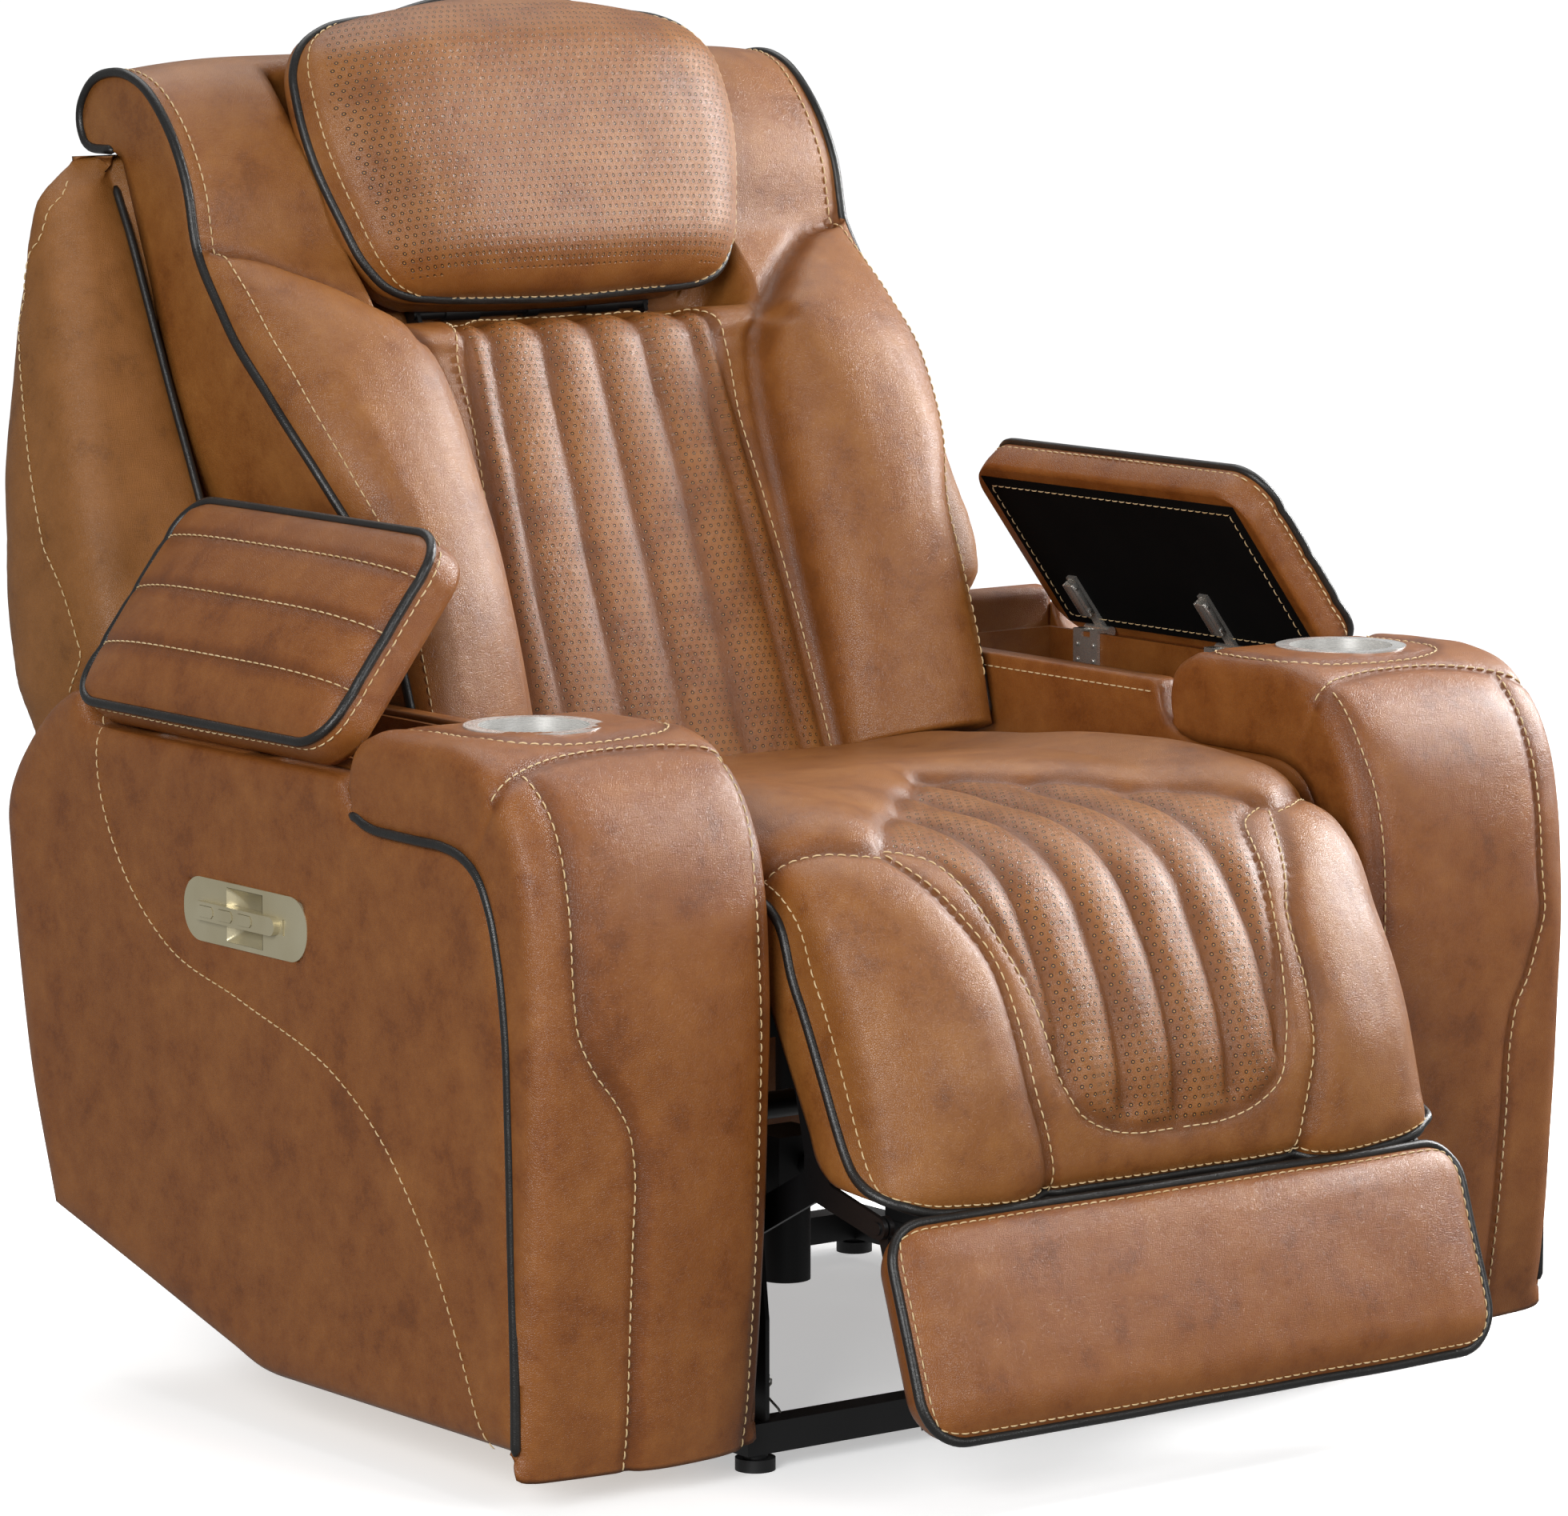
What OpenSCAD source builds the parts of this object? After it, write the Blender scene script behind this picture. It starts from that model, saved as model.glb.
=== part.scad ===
// Power recliner with storage arms, cup holders, tilting headrest and lifting footrest.
// Millimetres. +Z is up, -Y is the front, and the floor is at z = 0.

/* [Seat] */
// Width of the seat pad
seat_w = 570; // [520:5:620]
// Depth of the sewn channels
channel_d = 7; // [3:1:9]
// Width of one seat channel
seat_channel_w = 50; // [40:1:52]
// Height of the pads that the thighs rest on, above the seat panel
thigh_h = 12; // [4:1:14]
// Swell of the calf pad in front of its piping
calf_crown = 66; // [40:2:72]
// Thickness of the calf pad behind its piping
calf_side = 35; // [25:1:37]

/* [Footrest] */
// Length of the footrest pad
foot_len = 161; // [140:1:172]
// Thickness of the footrest pad at its edge
foot_t = 26; // [18:1:28]
// Swell of the footrest pad in front of its piping
foot_crown = 22; // [12:1:28]

/* [Arms] */
// Width of one arm
arm_w = 228; // [216:2:240]
// Gap between the seat pad and the arm
arm_gap = 17; // [14:1:22]
// Height of the arm's top beside the cup holder
arm_top = 586; // [580:1:596]
// Thickness of the arm's padded outer panel
side_t = 30; // [24:1:32]
// Swell of the arm's outer panel
side_crown = 8; // [4:1:12]
// Thickness of the arm's padded inner panel
inner_t = 22; // [16:1:24]
// Thickness of the boards in the arm
arm_board_t = 18; // [12:1:22]
// Distance of the cup holder's centre in front of the datum line
cup_reach = 334; // [330:1:338]
// Radius inside the cup holder
cup_r = 43.5; // [38:0.5:46]
// Depth of the cup holder
cup_depth = 70; // [50:1:74]
// Radius of the cup holder's ring
ring_r = 55; // [52:0.5:58]
// Wall of the cup holder
cup_wall = 1.5; // [1:0.1:2.5]

/* [Storage] */
// Height of the rim that the lid closes over
rim_z = 556; // [550:1:558]
// Depth of the storage bin
bin_h = 222; // [160:2:240]
// Wall of the storage bin
bin_wall = 5; // [3:0.5:8]
// Width of a lid
lid_w = 196; // [186:1:198]
// Length of a lid
lid_len = 366; // [350:1:368]
// Thickness of a lid at its piping
lid_t = 35; // [30:1:40]
// Thickness of a lid's board
lid_board_t = 6; // [4:0.5:8]
// Opening angle of the lids as stored
lid_open = 52.8; // [40:0.2:56]

/* [Back] */
// Half the width of the back above the arms
back_half = 342; // [335:1:346]
// Half the width of the quilted back panel
back_panel_half = 149; // [144:1:152]
// Width of one wide channel of the back panel
back_channel_w = 60; // [54:1:62]
// Height of the side bolsters over the back panel
bolster_h = 52; // [30:1:56]
// Thickness of the boards in the back
back_board_t = 18; // [12:1:20]
// Half the width of the outer back at the arms
shell_half = 458; // [440:1:466]

/* [Headrest] */
// Half the width of the headrest
head_half = 222; // [205:1:228]
// Swell of the headrest in front of its piping
head_crown = 60; // [40:1:70]
// Thickness of the headrest behind its piping
head_side = 40; // [30:1:40]

/* [Mechanism] */
// Radius of the pivot pins
pin_r = 5; // [4:0.25:6]
// Thickness of the steel links and plates
link_t = 4; // [3:0.5:4.5]
// Width of a link
link_w = 26; // [20:1:30]
// Running clearance round a pin
pin_gap = 0.05; // [0.02:0.01:0.09]
// Radius of the screw tube of an actuator
screw_r = 7; // [5:0.5:8]
// Size of the square base rails
rail = 25; // [20:1:28]
// Radius of a floor glide
glide_r = 16; // [12:1:18]
// Height of a floor glide
glide_h = 14; // [10:1:18]
// Wire of the base springs
spring_wire = 2.2; // [1.6:0.1:2.6]
// Outer diameter of the base springs
spring_od = 15; // [13:0.5:17]
// Number of curls in a base spring
spring_curls = 9; // [6:1:10]

/* [Control] */
// Length of the control plate
plate_len = 178; // [168:1:188]
// Height of the control plate
plate_h = 52; // [48:1:56]
// Thickness of the control plate
plate_t = 5; // [4:0.25:6]
// Length of a control button
button_len = 22; // [18:0.5:23]
// Height of a control button
button_h = 9; // [7:0.5:10]
// Travel of a control button
button_travel = 1; // [0.5:0.1:1.2]

/* [Hidden] */
$fn = 48;
fit_gap = 0.3;

// Widths across the chair
seat_half = seat_w / 2;
wide = seat_half - 285;
arm_in = seat_half + arm_gap;
arm_out = arm_in + arm_w;
arm_mid = (arm_in + arm_out) / 2;

// The fold at the front edge of the seat and the pivots of the footrest linkage,
// each a place in the side view: distance behind the datum line, and height
fold = [-540, 430];
link_drop = [30, -190];
pivot_calf = fold + link_drop;
pivot_rear = [-350, 330];
pivot_rear_end = pivot_rear + link_drop;
pivot_front = pivot_rear + 0.45 * (fold - pivot_rear);
pivot_front_end = pivot_front + link_drop;
pivot_drive = pivot_rear + 0.35 * link_drop;
pivot_foot = fold + [-46, -216];
calf_swing = 62;

// Layers of the mechanism, from the side plate inward
plate_x = seat_half - 8;
link_x = plate_x - link_t - 2;
coupler_x = link_x - link_t - 2;
bracket_x = plate_x - link_t - 3;
frame_x = coupler_x - 5;

// The base and the seat frame
rail_bottom = glide_h;
rail_top = rail_bottom + rail;
rail_x = arm_in - rail / 2 - 0.5;
rail_y = [-444, 165];
seat_frame_z = [354, 398];
seat_rail_x = [frame_x - 34, frame_x - 6];
seat_rail_y = [-372, 30];

// The arm, its storage bin and its lid
console_back = -243;
bin_y = [-228, 144];
bin_x = [arm_in + inner_t + 3, arm_out - side_t - 8];
bin_top = rim_z - 4;
side_top = rim_z - 11;
hinge_x = arm_out - side_t;
hinge_z = rim_z - 3;
hinge_y = [-95, 85];
hinge_pin_r = 2.5;
lid_x1 = arm_out - 18;
lid_x0 = lid_x1 - lid_w;
lid_y1 = 144;
lid_y0 = lid_y1 - lid_len;
lid_z0 = rim_z + 3;
lid_z1 = lid_z0 + 1 + lid_t;
lid_inset = 12;

// The back: where it starts, how far it leans, and its pivot
back_foot = [19, 490];
back_lean = 22.3;
back_pivot = [70, 400];
back_pin_r = 8;
recline_eye = back_pivot + [40, -70];
recline_bar_r = 9;
recline_swing = 36;
back_rail_n = -110.5;

// The headrest's pivot, measured up the back and out from its face
head_pivot = [428, -84];
head_pin_r = 5;
head_face = -38;
head_back = head_face - head_side;
head_board_t = 9;

// The control plate on the left arm
plate_y = -98;
plate_z = 416;
plate_face = arm_out + 1;
bar_y = -90;
bar_len = 118;
bar_h = 15;
bar_out = 6;
button_y = [-50, -78, -106];
button_t = 2.6;
button_proud = 0.8;

// Rows that set how far the recliner reaches to the front and to the rear; the
// datum line is moved so that the origin stands under the middle of the recliner
foot_lean = 19.2;
foot_dir = [-sin(foot_lean), -cos(foot_lean)];
foot_out = [-cos(foot_lean), sin(foot_lean)];
foot_top = pivot_foot + [-31, -2];
foot_low_row = foot_top + foot_dir * foot_len * 0.94 + foot_out * foot_crown * 0.55;
datum_y = -(foot_low_row[0] + on_back(653, -187)[0]) / 2;

function turned(p, a) = [p[0] * cos(a) + p[1] * sin(a), p[1] * cos(a) - p[0] * sin(a)];
function unit(v) = v / norm(v);
function mirrored(list) = concat([for (i = [len(list) - 1:-1:1]) -list[i]], list);
// A point of the chair from a place across it and a place in its side view
function at(x, p) = [x, p[0], p[1]];
// A place in the side view, from t up the back and n out from its face
function on_back(t, n) = back_foot + [t * sin(back_lean) - n * cos(back_lean),
    t * cos(back_lean) + n * sin(back_lean)];

module placed() translate([0, datum_y, 0]) children();
module right_side() placed() children();
module left_side() placed() mirror([1, 0, 0]) children();
module both_sides() placed() {
    children();
    mirror([1, 0, 0]) children();
}

// A closed pad between a front and a back grid, each a list of columns across X
module loft_pad(front, back) {
    rows = len(front[0]);
    half = len(front) * rows;
    last_c = len(front) - 1;
    last_r = rows - 1;
    function f(c, r) = c * rows + r;
    function b(c, r) = half + c * rows + r;
    points = concat([for (c = front) for (p = c) p], [for (c = back) for (p = c) p]);
    skin = [for (c = [0:last_c - 1]) for (r = [0:last_r - 1]) each [
        [f(c, r), f(c + 1, r), f(c + 1, r + 1)], [f(c, r), f(c + 1, r + 1), f(c, r + 1)],
        [b(c, r), b(c + 1, r + 1), b(c + 1, r)], [b(c, r), b(c, r + 1), b(c + 1, r + 1)]]];
    ends = [for (c = [0:last_c - 1]) each [
        [f(c, 0), b(c, 0), b(c + 1, 0)], [f(c, 0), b(c + 1, 0), f(c + 1, 0)],
        [f(c, last_r), f(c + 1, last_r), b(c + 1, last_r)],
        [f(c, last_r), b(c + 1, last_r), b(c, last_r)]]];
    sides = [for (r = [0:last_r - 1]) each [
        [f(0, r), f(0, r + 1), b(0, r + 1)], [f(0, r), b(0, r + 1), b(0, r)],
        [f(last_c, r), b(last_c, r), b(last_c, r + 1)],
        [f(last_c, r), b(last_c, r + 1), f(last_c, r + 1)]]];
    polyhedron(points, concat(skin, ends, sides));
}

// A plate with a side view outline, from x = x0 outward
module side_plate(outline, x0, t) translate([x0, 0, 0]) rotate([90, 0, 90])
    linear_extrude(t) polygon(outline);
function bar_outline(p, q, w) = let (d = unit(q - p), n = [-d[1], d[0]] * w / 2)
    [p + n, q + n, q - n, p - n];
module link(p, q, x0, w = link_w) translate([x0, 0, 0]) rotate([90, 0, 90])
    linear_extrude(link_t) {
        translate(p) circle(d = w);
        translate(q) circle(d = w);
        polygon(bar_outline(p, q, w));
    }
module eye(p, x0, t, r) translate([x0, p[0], p[1]]) rotate([0, 90, 0]) cylinder(r = r, h = t);
module cross_pin(p, x0, x1, r = pin_r) eye(p, x0, x1 - x0, r);
module cross_hole(p, x0, t, r) eye(p, x0 - 1, t + 2, r);
module block(x, y, z) translate([x[0], y[0], z[0]]) cube([x[1] - x[0], y[1] - y[0], z[1] - z[0]]);

// Steel base rails and the glides under them
module cross_rails() placed() color("dimgray") for (y = rail_y)
    block([-rail_x + rail / 2, rail_x - rail / 2], [y - rail / 2, y + rail / 2],
        [rail_bottom, rail_top]);
module side_rails() both_sides() color("dimgray")
    block([rail_x - rail / 2, rail_x + rail / 2], [rail_y[0] - rail / 2, rail_y[1] + rail / 2],
        [rail_bottom, rail_top]);
module glides() both_sides() color("black") for (y = rail_y) translate([rail_x - 4, y, 0]) {
    cylinder(r = glide_r, h = glide_h - 4);
    translate([0, 0, glide_h - 4]) cylinder(r = glide_r - 6, h = 4);
}

// Steel side plate of the mechanism, standing on its side rail, with its pivot pins
module mechanism_plate() color("dimgray") {
    side_plate([[-452, rail_top], [-452, 120], [-436, 250], pivot_front + [-20, -12],
        pivot_front + [-12, 14], [110, 389], [110, rail_top], [30, rail_top], [30, 190],
        [-140, 190], [-170, 150], [-250, 140], [-300, rail_top]], plate_x, link_t);
    for (p = [pivot_rear, pivot_front]) {
        cross_pin(p, link_x - 1, plate_x);
        cross_pin(p, link_x + link_t + 0.5, plate_x, pin_r + 3);
    }
    cross_pin(spring_peg, spring_x - 4, plate_x + 1, 4);
    cross_pin(back_pivot, bracket_x - 2, plate_x, back_pin_r);
    cross_pin(back_pivot, bracket_x + link_t + 0.5, plate_x, back_pin_r + 4);
}
module mechanism_plate_left() left_side() mechanism_plate();
module mechanism_plate_right() right_side() mechanism_plate();

// Hardwood seat frame with zigzag springs across its opening
module seat_side_rails() both_sides() color("burlywood") {
    block(seat_rail_x, seat_rail_y, seat_frame_z);
    block([seat_rail_x[1], plate_x], [-260, -60], [seat_frame_z[1] - 22, seat_frame_z[1] - 10]);
}
module seat_cross_rails() placed() color("burlywood")
    for (y = [seat_rail_y[0] - 28, seat_rail_y[1]])
        block([-seat_rail_x[1], seat_rail_x[1]], [y, y + 28], seat_frame_z);
module seat_springs() placed() color("silver") for (x = [-160:80:160])
    translate([x, 0, seat_frame_z[1]]) linear_extrude(3) {
        turns = 8;
        start = seat_rail_y[0] - 14;
        step = (seat_rail_y[1] + 14 - start) / turns;
        for (i = [0:turns - 1]) {
            swing = i % 2 == 0 ? 22 : -22;
            polygon(bar_outline([-swing, start + i * step], [swing, start + (i + 1) * step], 4));
            translate([swing, start + (i + 1) * step]) circle(d = 4, $fn = 16);
        }
    }

// Seat pad: plain thigh pads beside a quilted panel, ending at the fold
side_steps = [[0, 0], [0.25, 0.5], [0.5, 0.95], [0.76, 0.7], [0.93, 0.2], [1, 0]];
panel_half = 3 * seat_channel_w;
seat_columns = mirrored(concat([for (i = [0:6]) i * seat_channel_w / 2],
    [for (i = [1:5]) panel_half + (seat_half - panel_half) * side_steps[i][0]]));
seat_share_table = [[0, 1], [175, 0.97], [210, 0.92], [250, 0.76], [275, 0.42], [285, 0.04]];
foot_share_table = [[0, 1], [110, 1], [200, 0.97], [250, 0.82], [275, 0.45], [285, 0.08]];
function share_at(x, table) = lookup(abs(x) * 285 / seat_half, table);
function quilt(x, w, half) = abs(x) >= half ? 0 :
    let (u = abs(x) / w - floor(abs(x) / w)) channel_d * (4 * u * (1 - u) - 1);
function thigh(x) = abs(x) <= panel_half ? 0 : thigh_h
    * lookup((abs(x) - panel_half) / (seat_half - panel_half), side_steps);
seat_crest = [[45, 467], [0, 485], [-80, 491], [-180, 495], [-290, 503], [-390, 501],
    [-460, 486], [-508, 460], [-540, 430.3]];
seat_edge = [[45, 430], [0, 440], [-80, 446], [-180, 450], [-290, 452], [-390, 453],
    [-440, 451], [-464, 443], [-480, 430]];
seat_rest = seat_frame_z[1] + 3 + fit_gap;
seat_under = [[45, seat_rest], [0, seat_rest], [-80, seat_rest], [-180, seat_rest], [-290, seat_rest],
    [-380, 403], [-410, 406], [-435, 412], [-447, 418]];
thigh_fade = [0, 0.4, 1, 1, 1, 1, 0.8, 0.4, 0];
module seat_cushion() placed() color("saddlebrown") loft_pad(
    [for (x = seat_columns) [for (i = [0:8]) at(x, seat_edge[i]
        + share_at(x, seat_share_table) * (seat_crest[i] - seat_edge[i]
        + [0, quilt(x, seat_channel_w, panel_half) * (i < 8 ? 1 : 0) + thigh(x) * thigh_fade[i]]))]],
    [for (x = seat_columns) [for (p = seat_under) at(x, p)]]);

// Calf pad: hangs from the fold, with the quilted panel ending above its lower edge
calf_piping = [[60, -19], [54, -32], [42, -54], [28, -79], [12, -110], [-4, -142], [-20, -168],
    [-38, -186], [-56, -197]];
calf_crest = [[0, -1], [-13, -19], [-28, -44], [-43, -75], [-55, -108], [-63, -140],
    [-68, -168], [-68, -188], [-58, -200]];
calf_normal = [0.8754, -0.4834];
calf_back = [for (p = [[91, -29], [86, -44], [74, -65.7], [60, -91.1], [44, -120], [28, -149],
    [12, -178], [-14, -192], [-40, -197]]) fold + p + calf_normal * (calf_side - 35)];
module calf_cushion() placed() color("saddlebrown") loft_pad(
    [for (x = seat_columns) [for (i = [0:8]) at(x, fold + calf_piping[i]
        + share_at(x, seat_share_table) * (i == 0 ? 1 : calf_crown / 66)
        * (calf_crest[i] - calf_piping[i]) - [i > 0 && i < 7
        ? quilt(x, seat_channel_w, panel_half) : 0, 0])]],
    [for (x = seat_columns) [for (p = calf_back) at(x, p)]]);

// Board and steel brackets that carry the calf pad
calf_board = [for (p = [[85.6, -57.8], [22.7, -171.7]])
    fold + p + calf_normal * (calf_side - 35)];
calf_lug = [for (p = [[63.6, -97.6], [49.8, -122.6]])
    fold + p + calf_normal * (calf_side - 35)];
module calf_frame() placed() color("dimgray") {
    side_plate(bar_outline(calf_board[0], calf_board[1], 12), -frame_x, 2 * frame_x);
    for (s = [0, 1]) mirror([s, 0, 0]) {
        side_plate(bar_outline(calf_lug[0], calf_lug[1], 12), frame_x,
            link_x + link_t - frame_x);
        difference() {
            union() {
                side_plate([for (p = [[70, -99], [57, -127], [46, -172], [47, -198], [32, -208],
                    [-42, -225], [-49, -207.6], [14, -192], [18, -182], [46, -122], [56, -103]])
                    fold + p], link_x, link_t);
                eye(pivot_foot, link_x, link_t, 9);
            }
            cross_hole(pivot_foot, link_x, link_t, pin_r + pin_gap);
        }
        cross_pin(pivot_calf, coupler_x - 2, link_x + 1);
    }
}

// Footrest pad, and the board and arms that carry it
foot_rows = [0, 0.06, 0.26, 0.5, 0.74, 0.94, 1];
foot_swell = [0.08, 0.6, 0.95, 1, 0.95, 0.55, 0.08];
foot_columns = mirrored([for (x = [0, 110, 200, 250, 275, 285]) x * seat_half / 285]);
module footrest_cushion() placed() color("saddlebrown") loft_pad(
    [for (x = foot_columns) [for (i = [0:6]) at(x, foot_top + foot_dir * foot_len * foot_rows[i]
        + foot_out * foot_crown * foot_swell[i] * share_at(x, foot_share_table))]],
    [for (x = foot_columns) [for (i = [0:6])
        at(x, foot_top + foot_dir * foot_len * foot_rows[i] - foot_out * foot_t)]]);
foot_board = [for (s = [0.12, 0.9]) foot_top + foot_dir * foot_len * s
    - foot_out * (foot_t + 6 + fit_gap)];
module footrest_frame() placed() color("dimgray") {
    side_plate(bar_outline(foot_board[0], foot_board[1], 12), -coupler_x, 2 * coupler_x);
    for (s = [0, 1]) mirror([s, 0, 0]) {
        side_plate([pivot_foot + [0, 9], pivot_foot + [9, 0], foot_board[1] + [22, 44],
            foot_board[1] + [8, 6], foot_board[1] + [-3, 3], foot_board[0] + foot_out * 5.4,
            foot_top - foot_out * (foot_t + 0.8) - foot_dir * 2, pivot_foot + [-9, 0]], coupler_x, link_t);
        eye(pivot_foot, coupler_x, link_t, 9);
        cross_pin(pivot_foot, coupler_x, link_x + link_t + 1.5);
    }
}

// Links of the footrest: two swinging links a side and the bar that joins their ends
open_gap = 1;
module rear_links() placed() color("dimgray") {
    for (s = [0, 1]) mirror([s, 0, 0]) {
        difference() {
            link(pivot_rear, pivot_rear_end, link_x);
            cross_hole(pivot_rear, link_x, link_t, pin_r + pin_gap);
        }
        cross_pin(pivot_rear_end, coupler_x - 2, link_x + 1);
    }
    cross_pin(pivot_drive, -link_x, link_x, drive_bar_r);
}
module front_links() placed() color("dimgray") for (s = [0, 1]) mirror([s, 0, 0]) {
    difference() {
        link(pivot_front, pivot_front_end, link_x);
        cross_hole(pivot_front, link_x, link_t, pin_r + pin_gap);
    }
    cross_pin(pivot_front_end, coupler_x - 2, link_x + 1);
}
module coupler_links() placed() color("dimgray") for (s = [0, 1]) mirror([s, 0, 0])
    difference() {
        link(pivot_rear_end, pivot_calf, coupler_x);
        cross_hole(pivot_rear_end, coupler_x, link_t, pin_r + pin_gap);
        cross_hole(pivot_front_end, coupler_x, link_t, pin_r + open_gap);
        cross_hole(pivot_calf, coupler_x, link_t, pin_r + open_gap);
    }

// Springs of the base, each one unbroken wire from the front rail to a peg on a side plate
spring_x = plate_x - 22;
spring_peg = [-366, 104];
spring_foot = [rail_y[0] + 6, rail_top];
spring_low = spring_foot + unit(spring_peg - spring_foot) * 0.6;
spring_high = spring_peg - unit(spring_peg - spring_foot) * 4.6;
spring_span = norm(spring_high - spring_low);
spring_lean = atan2(spring_high[0] - spring_low[0], spring_high[1] - spring_low[1]);
spring_lead = 12 * spring_wire;
spring_mean = (spring_od - spring_wire) / 2;
spring_pitch = (spring_span - 2 * spring_lead) / spring_curls;
spring_steps = 8;
spring_path = concat([[0, 0, 0], [0, 0, 2 * spring_wire]],
    [for (i = [0:spring_curls * spring_steps]) let (turn = i / spring_steps)
        [spring_mean * cos(360 * turn), spring_mean * sin(360 * turn),
        spring_lead + turn * spring_pitch]],
    [[0, 0, spring_span - 2 * spring_wire], [0, 0, spring_span]]);
spring_gap = min([for (i = [2:len(spring_path) - 3]) for (j = [i + spring_steps - 2
    :min(i + 2 * spring_steps, len(spring_path) - 3)])
    norm(spring_path[i] - spring_path[j])]) - spring_wire;
echo(spring_gap = spring_gap);
module wire(path, r, sides) {
    count = len(path);
    rings = [for (i = [0:count - 1]) let (
        d = unit(path[min(i + 1, count - 1)] - path[max(i - 1, 0)]),
        side = norm([path[i][0], path[i][1]]) < 0.01 ? [0, -1, 0] : [path[i][1], -path[i][0], 0],
        u = unit(cross(d, side)), v = cross(d, u))
        each [for (k = [0:sides - 1]) path[i]
            + r * (u * cos(360 * k / sides) + v * sin(360 * k / sides))]];
    top = (count - 1) * sides;
    walls = [for (i = [0:count - 2]) for (k = [0:sides - 1]) let (
        a = i * sides + k, b = i * sides + (k + 1) % sides)
        each [[a, a + sides, b + sides], [a, b + sides, b]]];
    caps = [for (k = [1:sides - 2]) each [[0, k, k + 1], [top, top + k + 1, top + k]]];
    polyhedron(rings, concat(walls, caps));
}
module base_springs() both_sides() color("silver")
    translate([spring_x, spring_low[0], spring_low[1]])
        rotate([-spring_lean, 0, 0]) wire(spring_path, spring_wire / 2, 6);

// Actuators: a gearbox with its motor on a cross bar, a screw tube, and a sliding nut
// whose fork pushes a round bar; the tube runs level with the bar's straight path
drive_bar_r = 11;
drive_x = -90;
drive_path = turned(pivot_drive - pivot_rear, calf_swing) - (pivot_drive - pivot_rear);
recline_x = 90;
recline_path = turned(recline_eye - back_pivot, recline_swing) - (recline_eye - back_pivot);
fork_drop = 36;
fork_gap = 2;
function below(path) = [path[1], -path[0]] / norm(path) * (path[0] < 0 ? -1 : 1);
function screw_origin(bar, path) = bar + below(path) * fork_drop;
module along(path, p, x) translate([x, p[0], p[1]]) rotate([-atan2(path[1], -path[0]), 0, 0])
    children();
module screw_tube(x, bar, path, y0, y1) along(path, screw_origin(bar, path), x)
    translate([0, y1, 0]) rotate([90, 0, 0]) cylinder(r = screw_r, h = y1 - y0);
module gearbox(x, y, z) {
    block([x - 26, x + 26], y, [z - 26, z + 26]);
    translate([x, (y[0] + y[1]) / 2, z - 26 - 72]) cylinder(r = 21, h = 72);
}
drive_box_y = [-252, -200];
drive_box_z = 188;
recline_box_y = [-36, 16];
recline_box_z = 278;
module footrest_motor() placed() color("gray") {
    screw_tube(drive_x, pivot_drive, drive_path, -116, 118);
    gearbox(drive_x, drive_box_y, drive_box_z);
}
module recline_motor() placed() color("gray") {
    screw_tube(recline_x, recline_eye, recline_path, -125, 40);
    gearbox(recline_x, recline_box_y, recline_box_z);
}
module nut(x, bar, bar_r, path) difference() {
    along(path, screw_origin(bar, path), x)
        block([-13, 13], [-bar_r - 12, bar_r + 12], [-14, fork_drop + 4]);
    along(path, screw_origin(bar, path), x) rotate([90, 0, 0])
        cylinder(r = screw_r + pin_gap, h = 100, center = true);
    along(path, bar, x) block([-14, 14], [-bar_r - fork_gap, bar_r + fork_gap],
        [-fork_drop + screw_r + 4, 10]);
}
module footrest_nut() placed() color("goldenrod")
    nut(drive_x, pivot_drive, drive_bar_r, drive_path);
module recline_nut() placed() color("goldenrod")
    nut(recline_x, recline_eye, recline_bar_r, recline_path);
module motor_bars() placed() color("dimgray") {
    block([-plate_x, plate_x], [drive_box_y[1], drive_box_y[1] + 20],
        [drive_box_z - 22, drive_box_z - 2]);
    block([-plate_x, plate_x], [recline_box_y[0] - 20, recline_box_y[0]],
        [recline_box_z - 24, recline_box_z - 4]);
}

// The arm: a wrapped front with the cup console, panels, a rear end and boards
arm_rise = arm_top - 586;
arm_wrap = [[-246, 526], [-241, 545], [-246, 570], [-266, 582], [-300, 586], [-340, 587],
    [-385, 586], [-425, 575], [-457, 548], [-478, 511], [-490, 465], [-496, 400], [-495, 300],
    [-489, 200], [-480, 100], [-474, 50], [-469, 27]];
arm_under = [[-254, 519], [-259, 515], [-266, 512], [-280, 509], [-305, 508], [-340, 507.5],
    [-375, 507], [-400, 502], [-420, 490], [-436, 465], [-447, 430], [-455, 385], [-460, 300],
    [-463, 200], [-466, 100], [-466, 50], [-464, 42]];
edge_steps = [[0, 15], [4, 7], [12, 2], [26, 0]];
arm_columns = concat([for (e = edge_steps) [arm_in + e[0], e[1]]], [[arm_mid, -1]],
    [for (i = [3:-1:0]) [arm_out - edge_steps[i][0], edge_steps[i][1]]]);
cup = [arm_mid, -cup_reach];
module arm_front() color("saddlebrown") difference() {
    loft_pad([for (c = arm_columns) [for (i = [0:16]) at(c[0], arm_wrap[i]
            + unit(arm_under[i] - arm_wrap[i]) * c[1] * (i == 0 || i == 16 ? 0.3 : 1)
            + [0, i > 1 && i < 9 ? arm_rise : 0])]],
        [for (c = arm_columns) [for (p = arm_under) at(c[0], p)]]);
    translate([cup[0], cup[1], arm_top - 2.2]) cylinder(r = ring_r + fit_gap, h = 20);
    translate([cup[0], cup[1], 400]) cylinder(r = cup_r + cup_wall + fit_gap, h = 300);
}
module arm_front_left() left_side() arm_front();
module arm_front_right() right_side() arm_front();

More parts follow.
